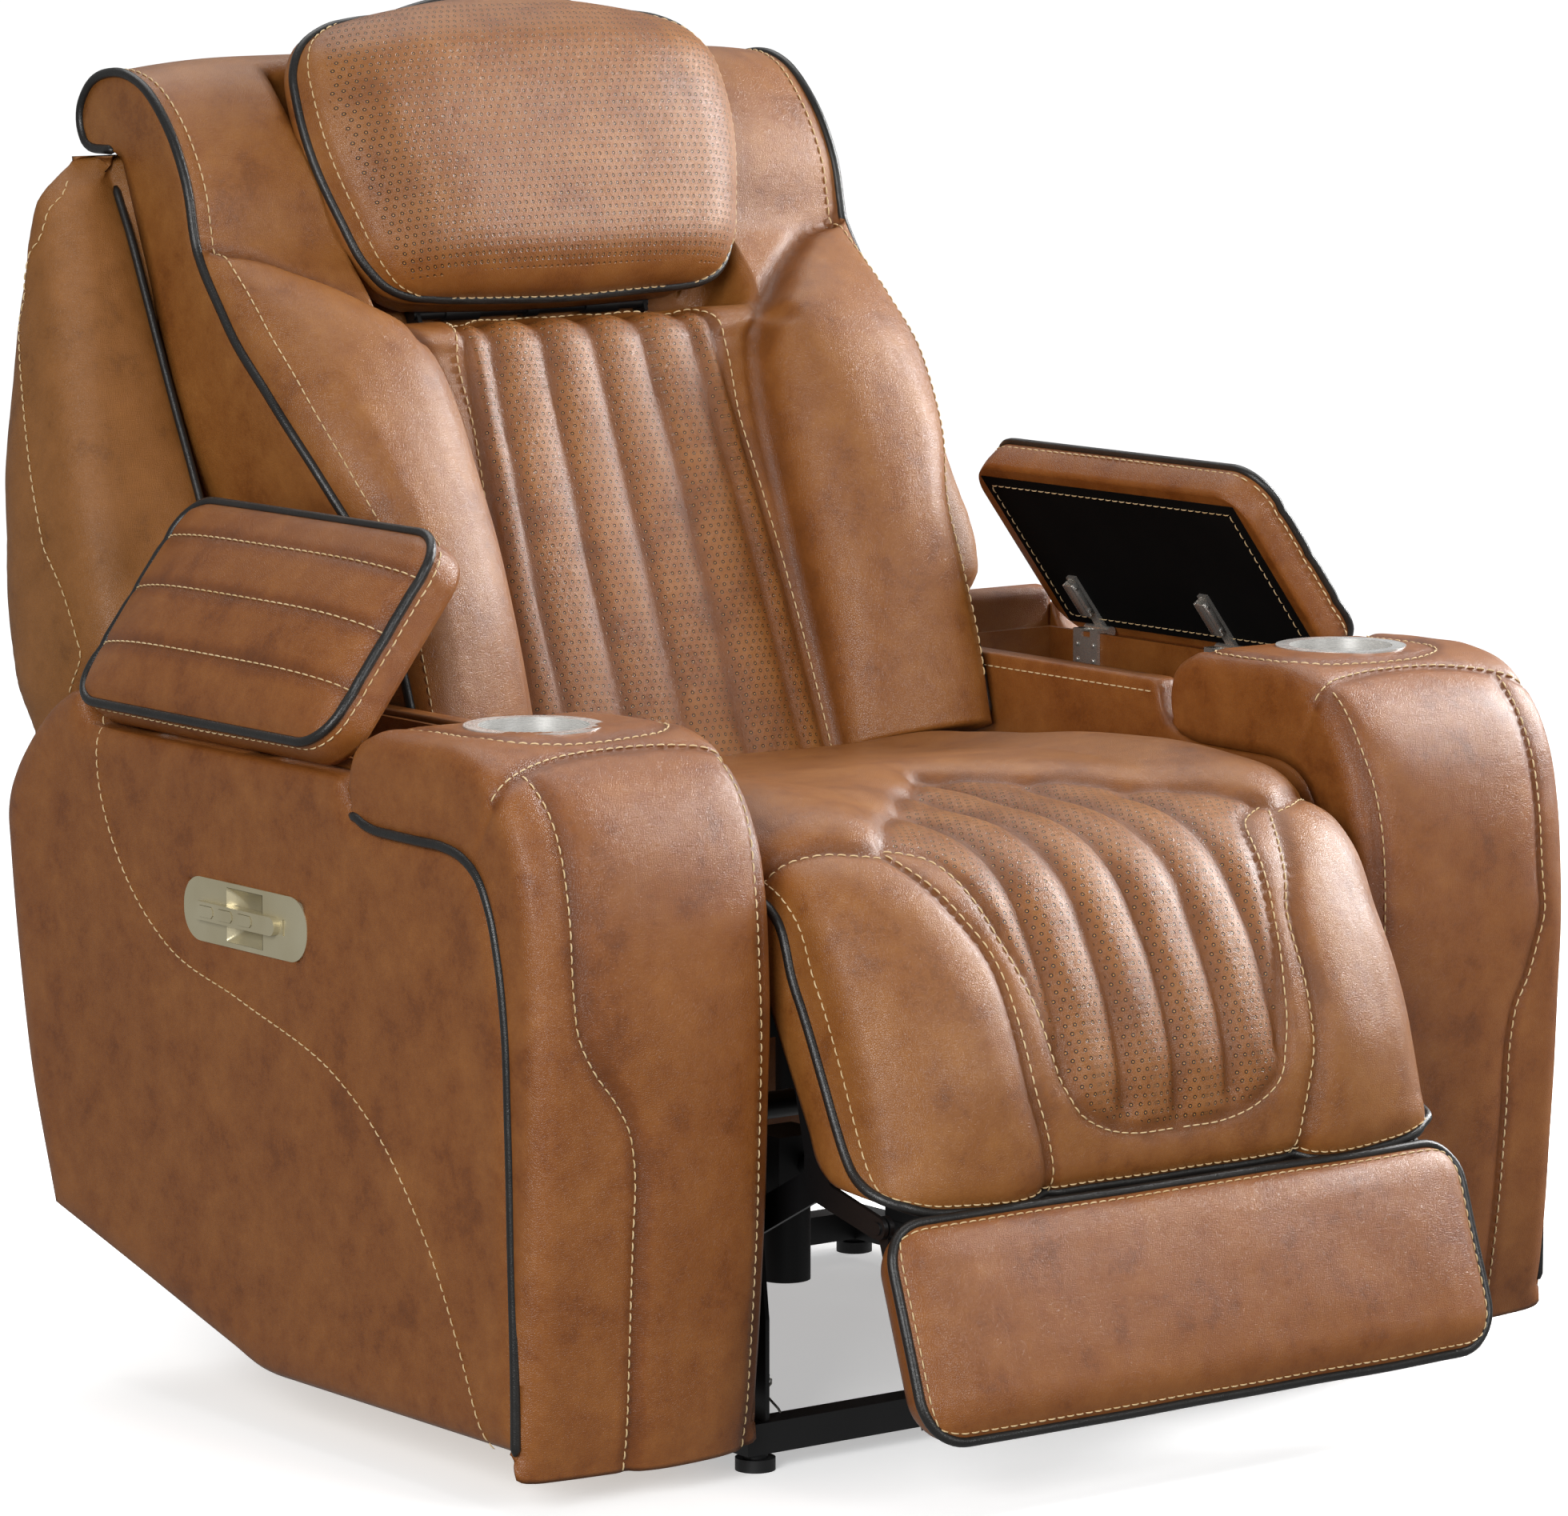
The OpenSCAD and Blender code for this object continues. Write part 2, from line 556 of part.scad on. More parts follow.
arm_rear_edge = [[160, 571], [185, 562], [210, 546], [236, 522], [256, 498], [268, 476],
    [272, 455], [270, 434], [257, 334], [241, 249], [205, 136]];
function panel_outline(top) = concat([[-440, 50], [-465.6, 50], [-465.4, 100], [-462.4, 200],
    [-459.4, 300], [-454.4, 385], [-446.4, 430], [-435, 464.4], [-419.6, 489], [-400, 501.2],
    [-375, 506.4], [-305, 507.2], [-280, 508.2], [-266, 511], [-252, 515.6], [-246, 519], [-238, 524],
    [-233, 530], [-231, top], [148, top], [150, 572]], arm_rear_edge, [[-111, 50]]);
arm_core = [60, 290];
module arm_outer() color("saddlebrown") translate([arm_out - side_t, 0, 0])
    rotate([90, 0, 90]) {
        linear_extrude(side_t - side_crown) polygon(panel_outline(side_top));
        translate([arm_core[0], arm_core[1], side_t - side_crown])
            linear_extrude(side_crown, scale = 0.95) translate(-arm_core)
                polygon(panel_outline(side_top));
    }
module arm_outer_left() left_side() difference() {
    arm_outer();
    translate([plate_face - plate_t - fit_gap, plate_y, plate_z]) rotate([90, 0, 90])
        linear_extrude(20) rounded(plate_len + 2 * fit_gap, plate_h + 2 * fit_gap, 24);
    block([plate_face - 24, arm_out], [plate_y - 31, plate_y + 31],
        [plate_z - plate_h / 2 + 2, plate_z + plate_h / 2 - 2]);
}
module arm_outer_right() right_side() arm_outer();
module arm_inner() color("saddlebrown")
    side_plate(panel_outline(rim_z), arm_in, inner_t);
module arm_inner_left() left_side() arm_inner();
module arm_inner_right() right_side() arm_inner();
module arm_rear() color("saddlebrown") side_plate(concat([[151, 340], [151, 586], [166, 588],
    [186, 578]], [for (i = [2:10]) arm_rear_edge[i] - [3, 0]], [[172, 136], [212, 249],
    [222, 340]]), arm_in + inner_t + fit_gap, arm_w - side_t - inner_t - 2 * fit_gap);
module arm_rear_left() left_side() arm_rear();
module arm_rear_right() right_side() arm_rear();
board_x = [arm_in + inner_t + fit_gap, arm_out - side_t - fit_gap];
module arm_frame() color("burlywood") {
    shelf = bin_top - bin_h - fit_gap;
    block(board_x, [-455, -110], [52, 52 + arm_board_t]);
    side_plate([[-111, 52], [150, 123], [150, 123 + arm_board_t * 1.04],
        [-111, 52 + arm_board_t * 1.04]], board_x[0], board_x[1] - board_x[0]);
    block(board_x, [-455, -455 + arm_board_t], [52, 375]);
    block(board_x, [-233 - arm_board_t, -233], [52, 505]);
    block(board_x, [-234, 150], [shelf - arm_board_t, shelf]);
    block(board_x, [150 - arm_board_t, 150], [124, shelf]);
}
module arm_frame_left() left_side() arm_frame();
module arm_frame_right() right_side() arm_frame();

module storage_bin() color("saddlebrown") difference() {
    block(bin_x, bin_y, [bin_top - bin_h, bin_top]);
    block(bin_x + [bin_wall, -bin_wall], bin_y + [bin_wall, -bin_wall],
        [bin_top - bin_h + bin_wall, bin_top + 1]);
}
module storage_bin_left() left_side() storage_bin();
module storage_bin_right() right_side() storage_bin();

// Metal cup holder hanging by its ring in the console
module cup_holder() color("silver") translate([cup[0], cup[1], arm_top]) difference() {
    union() {
        translate([0, 0, -2]) cylinder(r = ring_r, h = 3.5);
        translate([0, 0, -cup_depth]) cylinder(r = cup_r + cup_wall, h = cup_depth);
    }
    translate([0, 0, -cup_depth + cup_wall]) cylinder(r = cup_r, h = cup_depth + 10);
}
module cup_holder_left() left_side() cup_holder();
module cup_holder_right() right_side() cup_holder();

// Lids: a felt board and a leather pad with sewn channels, on two steel hinges each
module opened_lid() translate([hinge_x, 0, hinge_z]) rotate([0, lid_open, 0])
    translate([-hinge_x, 0, -hinge_z]) children();
knuckle_r = 4.7;
knuckle_w = 11.4;
leaf_x = bin_x[1] - bin_wall - fit_gap;
module hinge_leaf(y) {
    block([leaf_x - 3, leaf_x], [y - 17, y + 17], [bin_top - 34, bin_top - 4]);
    for (side = [y - 17, y + 6.2]) {
        block([leaf_x - 3, leaf_x], [side, side + 10.8], [bin_top - 5, bin_top + 3]);
        block([leaf_x - 3, hinge_x], [side, side + 10.8], [bin_top + fit_gap, bin_top + 3]);
        translate([hinge_x, side + 10.8, hinge_z]) rotate([90, 0, 0])
            cylinder(r = knuckle_r, h = 10.8);
    }
    translate([hinge_x, y + 17, hinge_z]) rotate([90, 0, 0]) cylinder(r = hinge_pin_r, h = 34);
}
module hinge_leaves() both_sides() color("silver") for (y = hinge_y) hinge_leaf(y);
module lid_hinges() opened_lid() color("silver") for (y = hinge_y) difference() {
    union() {
        translate([hinge_x, y + knuckle_w / 2, hinge_z]) rotate([90, 0, 0])
            cylinder(r = knuckle_r, h = knuckle_w);
        block([hinge_x - 60, hinge_x], [y - knuckle_w / 2, y + knuckle_w / 2],
            [hinge_z + 2, lid_z0 - fit_gap]);
    }
    translate([hinge_x, y + 30, hinge_z]) rotate([90, 0, 0])
        cylinder(r = hinge_pin_r + pin_gap, h = 60);
}
module lid_hinges_left() left_side() lid_hinges();
module lid_hinges_right() right_side() lid_hinges();
module lid_board_shape(gap) block([lid_x0 + lid_inset - gap, lid_x1 - lid_inset + gap],
    [lid_y0 + lid_inset - gap, lid_y1 - lid_inset + gap], [lid_z0, lid_z0 + lid_board_t + gap]);
module lid_board_left() left_side() opened_lid() color("black") lid_board_shape(0);
module lid_board_right() right_side() opened_lid() color("black") lid_board_shape(0);
lid_lobes = [[0, -6, 10], [0.03, 0, 2], [0.125, 6, 0], [0.25, 0, 0], [0.375, 7, 0], [0.5, 1, 0],
    [0.625, 7, 0], [0.75, 0, 0], [0.875, 6, 0], [0.97, 0, 2], [1, -6, 10]];
lid_rows = [[0, -8, 10], [0.02, -2, 2], [0.06, 0, 0], [0.5, 1, 0], [0.94, 0, 0], [0.98, -2, 2],
    [1, -8, 10]];
module lid_pad() opened_lid() color("saddlebrown") difference() {
    loft_pad([for (c = lid_lobes) [for (r = lid_rows) [lid_x0 + lid_w * c[0],
            lid_y1 - lid_len * r[0], lid_z1 + c[1] * channel_d / 7 + r[1]]]],
        [for (c = lid_lobes) [for (r = lid_rows) [lid_x0 + lid_w * c[0], lid_y1 - lid_len * r[0],
            lid_z0 + 1 + max(c[2], r[2])]]]);
    lid_board_shape(fit_gap);
}
module lid_pad_left() left_side() lid_pad();
module lid_pad_right() right_side() lid_pad();

// Control plate on the left arm, with a finger scoop behind a bar of three buttons
module rounded(w, h, r) hull() for (x = [-1, 1]) for (y = [-1, 1])
    translate([x * (w / 2 - r), y * (h / 2 - r)]) circle(r = r);
module octagon(w, h) {
    c = h * 0.29;
    polygon([[-w / 2 + c, -h / 2], [w / 2 - c, -h / 2], [w / 2, -h / 2 + c], [w / 2, h / 2 - c],
        [w / 2 - c, h / 2], [-w / 2 + c, h / 2], [-w / 2, h / 2 - c], [-w / 2, -h / 2 + c]]);
}
scoop_w = 52;
module on_plate(x, y) translate([x, y, plate_z]) rotate([90, 0, 90]) children();
module control_plate() left_side() color("tan") {
    difference() {
        on_plate(plate_face - plate_t, plate_y) linear_extrude(plate_t)
            rounded(plate_len, plate_h, 24);
        on_plate(plate_face - plate_t - 1, plate_y) linear_extrude(plate_t + 2)
            square([scoop_w, plate_h - 8], center = true);
        on_plate(plate_face - 1.5, bar_y - bar_len / 2 - 5) linear_extrude(3)
            square([3, 13], center = true);
    }
    difference() {
        on_plate(plate_face - plate_t - 14, plate_y) linear_extrude(14 + plate_t)
            square([scoop_w + 4, plate_h - 5], center = true);
        on_plate(plate_face - plate_t - 12, plate_y) linear_extrude(30)
            square([scoop_w, plate_h - 8], center = true);
    }
    difference() {
        on_plate(plate_face - 3, bar_y) linear_extrude(bar_out + 3)
            rounded(bar_len, bar_h, bar_h / 2 - 0.1);
        for (y = button_y) on_plate(plate_face + bar_out - button_t - 1.6, y) linear_extrude(10)
            octagon(button_len + 0.6, button_h + 0.6);
    }
}
module button(y) on_plate(plate_face + bar_out + button_proud - button_t - 0.6, y) {
    linear_extrude(button_t + 0.6) octagon(button_len, button_h);
}
module button_recline() left_side() color("goldenrod") button(button_y[0]);
module button_headrest() left_side() color("goldenrod") button(button_y[1]);
module button_footrest() left_side() color("goldenrod") button(button_y[2]);

// Leather valance across the rear between the arms, with the socket for the power lead
valance_y = [208, 220];
valance_z = [62, 312];
socket = [150, 110];
module rear_valance() placed() color("saddlebrown") difference() {
    block([-arm_in + fit_gap, arm_in - fit_gap], valance_y, valance_z);
    translate([socket[0], 0, socket[1]]) rotate([-90, 0, 0]) cylinder(r = 12 + fit_gap, h = 300);
}
module power_socket() placed() color("black") translate([socket[0], valance_y[0] - 16, socket[1]])
    rotate([-90, 0, 0]) difference() {
        union() {
            cylinder(r = 12, h = 16 + valance_y[1] - valance_y[0]);
            translate([0, 0, 16 + valance_y[1] - valance_y[0]]) cylinder(r = 17, h = 3);
        }
        translate([0, 0, 12]) cylinder(r = 7, h = 40);
    }

// Back frame: boards, and steel brackets that turn on the mechanism plates
module back_board(x, t) multmatrix([[1, 0, 0, 0],
    [0, cos(back_lean), sin(back_lean), back_foot[0]],
    [0, -sin(back_lean), cos(back_lean), back_foot[1]], [0, 0, 0, 1]])
        block(x, [-back_rail_n, -back_rail_n + back_board_t], t);
back_rail_x = [bracket_x - 38, bracket_x - fit_gap];
module back_side_rails() both_sides() color("burlywood") back_board(back_rail_x, [14, 566]);
module back_cross_rails() placed() color("burlywood")
    for (t = [[14, 70], [330, 372], [522, 566]])
        back_board([-back_rail_x[0], back_rail_x[0]], t);
module recline_brackets() placed() color("dimgray") {
    for (s = [0, 1]) mirror([s, 0, 0]) difference() {
        union() {
            side_plate([on_back(6, -112), on_back(90, -112), on_back(90, -128),
                on_back(20, -128), back_pivot + [26, -4], recline_eye + [14, 0],
                recline_eye + [0, -14], recline_eye + [-14, 0], back_pivot + [-18, -6],
                back_pivot + [-10, 18]], bracket_x, link_t);
            eye(back_pivot, bracket_x, link_t, 19);
        }
        cross_hole(back_pivot, bracket_x, link_t, back_pin_r + pin_gap);
    }
    cross_pin(recline_eye, -bracket_x, bracket_x, recline_bar_r);
}

// Back pad: quilted panel, side bolsters, and shoulders that roll over into a scroll
panel_seam = 2 * back_channel_w;
back_steps = concat([0, 0.5, 1, 1.5, 2] * back_channel_w,
    [(panel_seam + back_panel_half) / 2, back_panel_half]);
bolster_steps = [[0, 0], [0.08, 0.35], [0.21, 0.75], [0.37, 0.97], [0.55, 1], [0.73, 0.88],
    [0.876, 0.6], [0.96, 0.25], [1, 0]];
back_rows = [[628, -188], [653, -187], [672, -163], [667, -115], [645, -85], [600, -61],
    [544, -51], [483, -57], [430, -43], [400, -34], [396, -32], [335, -3], [260, 19], [200, 27],
    [130, 34], [58, 35], [-8, 31]];
back_rear = [[606, -148], [600, -143], [592, -139], [584, -138], [570, -138], [550, -138],
    [520, -138], [483, -138], [430, -141], [400, -143], [390, -143], [335, -146], [260, -148],
    [200, -149], [130, -149], [58, -147], [8, -142]];
bolster_rise = [0, 0, 0, 0, 0, 0, 0, 0, 0.3, 0.62, 0.64, 0.95, 1, 0.97, 0.9, 0.72, 0.55];
pocket_n = -96;
head_pocket = 226;
function back_width(t) = lookup(t, [[190, arm_in - 4], [255, back_half]]);
function back_x(s, t) = s <= 0 ? -s * back_panel_half : back_panel_half
    + s * (back_width(t) - back_panel_half);
function panel_n(s) = s >= 0 ? 0 : let (x = -s * back_panel_half)
    x <= panel_seam ? quilt(x, back_channel_w, 1000)
    : channel_d * (x == back_panel_half ? -1 : -0.4);
// Column s runs from -1 to 0 over half the panel and from 0 to 1 over the bolster
back_s = concat([for (x = back_steps) -x / back_panel_half], [for (i = [1:8]) bolster_steps[i][0]]);
function back_n(s, i) = let (t = back_rows[i][0], edge = back_rows[i][1],
    x = s < 0 ? -s * back_panel_half : back_x(s, t), share = max(0, s))
    i > 3 && i < 10 && x < head_pocket ? pocket_n
    : i <= 3 ? edge
    : i < 10 ? edge + bolster_h * bolster_rise[i] * lookup(share, bolster_steps)
    : (i == 10 ? -10 : panel_n(s)) * (1 - share) + edge * share
        + bolster_h * bolster_rise[i] * lookup(share, bolster_steps);
function back_column(s, side) = [for (i = [0:16]) at(side * (s < 0 ? -s * back_panel_half
    : back_x(s, back_rows[i][0])), on_back(back_rows[i][0], back_n(s, i)))];
function back_rear_column(s, side) = [for (i = [0:16]) at(side * (s < 0 ? -s * back_panel_half
    : back_x(s, back_rows[i][0])), on_back(back_rear[i][0], i > 3 && s < 0.9
    ? back_rail_n + fit_gap : back_rear[i][1]))];
back_order = concat([for (i = [14:-1:1]) [back_s[i], -1]], [for (i = [0:14]) [back_s[i], 1]]);
module back_cushion() placed() color("saddlebrown") difference() {
    loft_pad([for (c = back_order) back_column(c[0], c[1])],
        [for (c = back_order) back_rear_column(c[0], c[1])]);
    in_back() {
        for (x = [-1, 1]) block([x * support_x - 6, x * support_x + 6], [-head_pivot[1] - 12, 115],
            [head_pivot[0] - 14, head_pivot[0] + 14]);
        for (x = [-1, 1]) block([x * support_x - 6, x * support_x + 6], [100, 115],
            [340, head_pivot[0] + 14]);
        block([-16, 16], [-head_pivot[1] - 12, 115], [388, head_pivot[0] + 30]);
    }
}
// The space of the back: X across, Y behind its face, Z up along it
module in_back() multmatrix([[1, 0, 0, 0],
    [0, cos(back_lean), sin(back_lean), back_foot[0]],
    [0, -sin(back_lean), cos(back_lean), back_foot[1]], [0, 0, 0, 1]]) children();

// Headrest: steel support with its hinge rod, board with barrels, and crowned pad
support_x = 120;
barrel_x = [56, 92];
head_tilt = 26;
lever = 34;
module headrest_support() placed() in_back() color("dimgray") {
    for (x = [-1, 1]) {
        block([x * support_x - 2, x * support_x + 2], [-head_pivot[1] - 5, -back_rail_n - fit_gap],
            [head_pivot[0] - 9, head_pivot[0] + 9]);
        block([x * support_x - 2, x * support_x + 2], [-back_rail_n - 7, -back_rail_n - fit_gap],
            [345, head_pivot[0]]);
    }
    translate([-support_x - 4, -head_pivot[1], head_pivot[0]]) rotate([0, 90, 0])
        cylinder(r = head_pin_r, h = 2 * support_x + 8);
}
module headrest_frame() placed() in_back() color("dimgray") {
    block([-140, 140], [-head_back + fit_gap, -head_back + fit_gap + head_board_t], [452, 640]);
    difference() {
        union() {
            for (x = [-1, 1]) {
                block([min(x * barrel_x[0], x * barrel_x[1]), max(x * barrel_x[0], x * barrel_x[1])],
                    [-head_back + fit_gap, -head_pivot[1] + 2], [head_pivot[0], 452]);
                translate([min(x * barrel_x[0], x * barrel_x[1]), -head_pivot[1], head_pivot[0]])
                    rotate([0, 90, 0]) cylinder(r = 7, h = barrel_x[1] - barrel_x[0]);
            }
            translate([-6, -head_pivot[1], head_pivot[0]]) rotate([0, 90, 0])
                cylinder(r = 7, h = 12);
            block([-6, 6], [-head_back + fit_gap, -head_pivot[1] + 2], [head_pivot[0], 452]);
            block([-6, 6], [-head_pivot[1], -head_pivot[1] + lever],
                [head_pivot[0] - 4, head_pivot[0] + 4]);
        }
        translate([-200, -head_pivot[1], head_pivot[0]]) rotate([0, 90, 0])
            cylinder(r = head_pin_r + pin_gap, h = 400);
    }
}
head_outline = [[698, 0.72, 0], [690, 0.86, 0.3], [665, 0.955, 0.7], [610, 1, 0.97],
    [558, 0.99, 1], [500, 0.925, 0.95], [445, 0.83, 0.7], [432, 0.76, 0.38], [425, 0.68, 0]];
head_columns = mirrored([0, 0.3, 0.6, 0.8, 0.92, 0.98, 1]);
head_share_table = [[0, 1], [0.3, 0.99], [0.6, 0.93], [0.8, 0.78], [0.92, 0.52], [0.98, 0.25],
    [1, 0]];
module headrest_cushion() placed() color("saddlebrown") loft_pad(
    [for (s = head_columns) [for (r = head_outline) at(s * r[1] * head_half,
        on_back(r[0], head_face + head_crown * r[2] * lookup(abs(s), head_share_table)))]],
    [for (s = head_columns) [for (i = [0:8]) at(s * head_outline[i][1] * head_half,
        on_back(head_outline[i][0], i == 0 || i == 8 || abs(s) > 0.95 ? head_face - 14
            : head_back))]]);
// Headrest actuator: its motor stands on the middle rail and lifts a slider
slide_x = 0;
module headrest_motor() placed() in_back() color("gray") {
    block([slide_x - 30, slide_x + 30], [-back_rail_n - 0.2, -back_rail_n + back_board_t],
        [372.2, 392]);
    translate([slide_x, -head_pivot[1] + lever, 392]) cylinder(r = 4, h = 24);
}
module headrest_slider() placed() in_back() color("goldenrod") difference() {
    union() {
        block([slide_x - 8, slide_x + 8], [-head_pivot[1] + lever - 8,
            -head_pivot[1] + lever + 8], [393, head_pivot[0] - 11]);
        block([slide_x - 8, slide_x + 8], [-head_pivot[1] + lever - 3,
            -head_pivot[1] + lever + 3], [head_pivot[0] - 12, head_pivot[0] - 5]);
    }
    translate([slide_x, -head_pivot[1] + lever, 380]) cylinder(r = 4 + pin_gap, h = 38);
}

// Outer back: a padded shell that wraps behind the back and outside its wings
shell_rows = [[985, 412, -78, 378, 382], [965, 424, -54, 365, 372], [930, 436, -38, 351, 352],
    [880, 438, -26, 331.5, 328], [800, 428, -8, 303, 290], [720, 416, 8, 274.5, 250],
    [675, 408, 12, 256.8, 228.6], [640, 402, 16, 243, 212], [600, 395, 18, 228, 204],
    [560, 386, 18, 211.5, 234], [520, 374, 10, 194, 264], [480, 360, -2, 177, 292],
    [440, 343, -17, 155, 302]];
function shell_board(z) = 158.9 + 0.41 * (z - 490);
// Columns of the front and the rear from the middle outward: across, and behind
function shell_front(r) = let (z = r[0], w = shell_half + r[2], low = z < 590,
    half = lookup(z, [[600, arm_in + 1], [640, arm_in + 18], [675, back_half]]),
    board = z > 970 ? r[3] : shell_board(z),
    step = low ? arm_in - 25 : half - 26, side = low ? arm_in - 6 : half + 3)
    [[0, board], [step, board], [step + 12, r[3]], [side, r[3]],
    [side + 1, r[4] + 6], [w - 34, r[4]], [w - 10, r[4] + 14], [w, (r[4] + r[1]) / 2 - 12]];
function shell_rear(r) = let (w = shell_half + r[2]) [[0, r[1]], [150, r[1]], [240, r[1] - 1],
    [w - 120, r[1] - 2], [w - 70, r[1] - 4], [w - 30, r[1] - 15], [w - 8, r[1] - 40],
    [w, (r[4] + r[1]) / 2 + 12]];
shell_order = concat([for (i = [7:-1:1]) [i, -1]], [for (i = [0:7]) [i, 1]]);
module back_shell() placed() color("saddlebrown") loft_pad(
    [for (c = shell_order) [for (r = shell_rows) let (p = shell_front(r)[c[0]])
        [c[1] * p[0], p[1], r[0]]]],
    [for (c = shell_order) [for (r = shell_rows) let (p = shell_rear(r)[c[0]])
        [c[1] * p[0], p[1], r[0]]]]);

cross_rails();
side_rails();
glides();
mechanism_plate_left();
mechanism_plate_right();
motor_bars();
seat_side_rails();
seat_cross_rails();
seat_springs();
seat_cushion();
arm_frame_left();
arm_frame_right();
arm_outer_left();
arm_outer_right();
arm_inner_left();
arm_inner_right();
arm_front_left();
arm_front_right();
arm_rear_left();
arm_rear_right();
storage_bin_left();
storage_bin_right();
cup_holder_left();
cup_holder_right();
hinge_leaves();
control_plate();
button_recline();
button_headrest();
button_footrest();
power_socket();
rear_valance();
footrest_motor();
recline_motor();
footrest_nut();
recline_nut();
rear_links();
front_links();
coupler_links();
base_springs();
calf_frame();
calf_cushion();
footrest_frame();
footrest_cushion();
back_side_rails();
back_cross_rails();
recline_brackets();
back_cushion();
back_shell();
headrest_motor();
headrest_slider();
headrest_support();
headrest_frame();
headrest_cushion();
lid_board_left();
lid_board_right();
lid_pad_left();
lid_pad_right();
lid_hinges_left();
lid_hinges_right();
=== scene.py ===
# Power recliner: leather covers, stitching, piping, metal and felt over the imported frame

import math

import bmesh
import bpy
import numpy as np
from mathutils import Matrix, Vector


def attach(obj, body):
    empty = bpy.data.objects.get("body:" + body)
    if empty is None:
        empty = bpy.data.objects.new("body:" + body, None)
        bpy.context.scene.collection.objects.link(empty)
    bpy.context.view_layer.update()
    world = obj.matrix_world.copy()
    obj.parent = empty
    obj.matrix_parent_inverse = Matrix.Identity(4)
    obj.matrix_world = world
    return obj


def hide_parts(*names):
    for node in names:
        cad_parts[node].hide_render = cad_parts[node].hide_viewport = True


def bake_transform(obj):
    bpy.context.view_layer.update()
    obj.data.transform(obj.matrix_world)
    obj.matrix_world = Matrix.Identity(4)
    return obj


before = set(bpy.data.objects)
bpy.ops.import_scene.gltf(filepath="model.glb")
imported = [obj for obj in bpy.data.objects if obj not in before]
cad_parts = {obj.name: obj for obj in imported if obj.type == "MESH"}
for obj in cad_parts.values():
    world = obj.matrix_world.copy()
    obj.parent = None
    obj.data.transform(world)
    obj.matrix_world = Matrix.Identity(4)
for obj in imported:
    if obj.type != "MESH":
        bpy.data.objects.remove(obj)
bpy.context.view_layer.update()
scene = bpy.context.scene
rearShift = 0.11919927  # metres between the measured outlines' origin and the frame's own
clearOfSeam = 30.0  # mm from a seam, where the painted seam shade has faded out
fullTurn = 6.28


# Points are worked out in millimetres: X across, Y rearward, Z up
def placed(points):
    out = np.array(points, float) * 0.001
    out[..., 1] += rearShift
    return out


def unit(v):
    return v / np.maximum(np.linalg.norm(v, axis=-1, keepdims=True), 1e-9)


# A smooth line through values at knots, which doesn't overshoot when it is even
def curve(knots, values, at, even=True):
    k = np.asarray(knots, float)
    v = np.asarray(values, float)
    shape = v.shape[1:]
    v = v.reshape(len(k), -1)
    at = np.clip(np.asarray(at, float), k[0], k[-1])
    h = np.diff(k)[:, None]
    d = np.diff(v, axis=0) / h
    m = np.zeros_like(v)
    m[0] = d[0]
    m[-1] = d[-1]
    if len(k) > 2:
        mean = (d[:-1] * h[1:] + d[1:] * h[:-1]) / (h[1:] + h[:-1])
        if even:
            small = np.minimum(np.abs(d[:-1]), np.abs(d[1:])) * 3
            mean = np.where(d[:-1] * d[1:] > 0, np.clip(mean, -small, small), 0)
        m[1:-1] = mean
    i = np.clip(np.searchsorted(k, at, side="right") - 1, 0, len(k) - 2)
    w = h[i]
    t = (at - k[i])[..., None] / w
    out = ((2 * t**3 - 3 * t**2 + 1) * v[i] + (t**3 - 2 * t**2 + t) * w * m[i]
           + (3 * t**2 - 2 * t**3) * v[i + 1] + (t**3 - t**2) * w * m[i + 1])
    return out.reshape(at.shape + shape)


def lengths(path):
    path = np.asarray(path, float)
    return np.concatenate([[0], np.cumsum(np.linalg.norm(np.diff(path, axis=0), axis=1))])


def smoothPath(path, step=4.0, closed=False):
    path = np.asarray(path, float)
    if closed:
        n = len(path)
        path = np.concatenate([path[-3:], path, path[:4]])
    s = lengths(path)
    first, last = (s[3], s[n + 3]) if closed else (0, s[-1])
    count = max(2, int(round((last - first) / step)) + 1)
    at = np.linspace(first, last, count)
    return curve(s, path, at[:-1] if closed else at, even=False)


def straight(path, step=4.0):
    path = np.asarray(path, float)
    s = lengths(path)
    at = np.linspace(0, s[-1], int(s[-1] / step) + 2)
    return np.stack([np.interp(at, s, path[:, i]) for i in range(path.shape[1])], axis=1)


def rowsOf(low, high, step=4.0):
    return np.linspace(low, high, int(round((high - low) / step)) + 1)


def ramp(x, a, b):
    t = np.clip((np.asarray(x, float) - a) / (b - a), 0, 1)
    return t * t * (3 - 2 * t)


def spread(a, b):
    return np.meshgrid(a, b, indexing="ij")


# X across put before outlines drawn in Y and Z
def joined(x, outline):
    return np.concatenate([np.broadcast_to(x, outline.shape[:-1])[..., None], outline], axis=-1)


# A line drawn on one half, carried over to the other
def mirrored(line):
    line = np.asarray(line, float)
    return [line, line * [-1, 1]]


def distance(where, lines):
    best = np.full(len(where), 1e9)
    for line in lines:
        line = np.asarray(line, float)
        for p, q in zip(line[:-1], line[1:]):
            d = q - p
            t = np.clip((where - p) @ d / max(d @ d, 1e-9), 0, 1)
            best = np.minimum(best, np.linalg.norm(where - p - t[:, None] * d, axis=1))
    return best


# Squeezes the corners of a rectangle in plan into arcs
def rounded(x, y, box, radii):
    x0, x1, y0, y1 = box
    corners = [(x0, y0, -1, -1), (x1, y0, 1, -1), (x0, y1, -1, 1), (x1, y1, 1, 1)]
    for (cx, cy, sx, sy), r in zip(corners, radii):
        if r > 0:
            u = np.clip(((x - cx) * sx + r) / r, 0, 1)
            v = np.clip(((y - cy) * sy + r) / r, 0, 1)
            x = x - sx * r * (u - u * np.sqrt(1 - v * v / 2)) * (v > 0)
            y = y - sy * r * (v - v * np.sqrt(1 - u * u / 2)) * (u > 0)
    return x, y


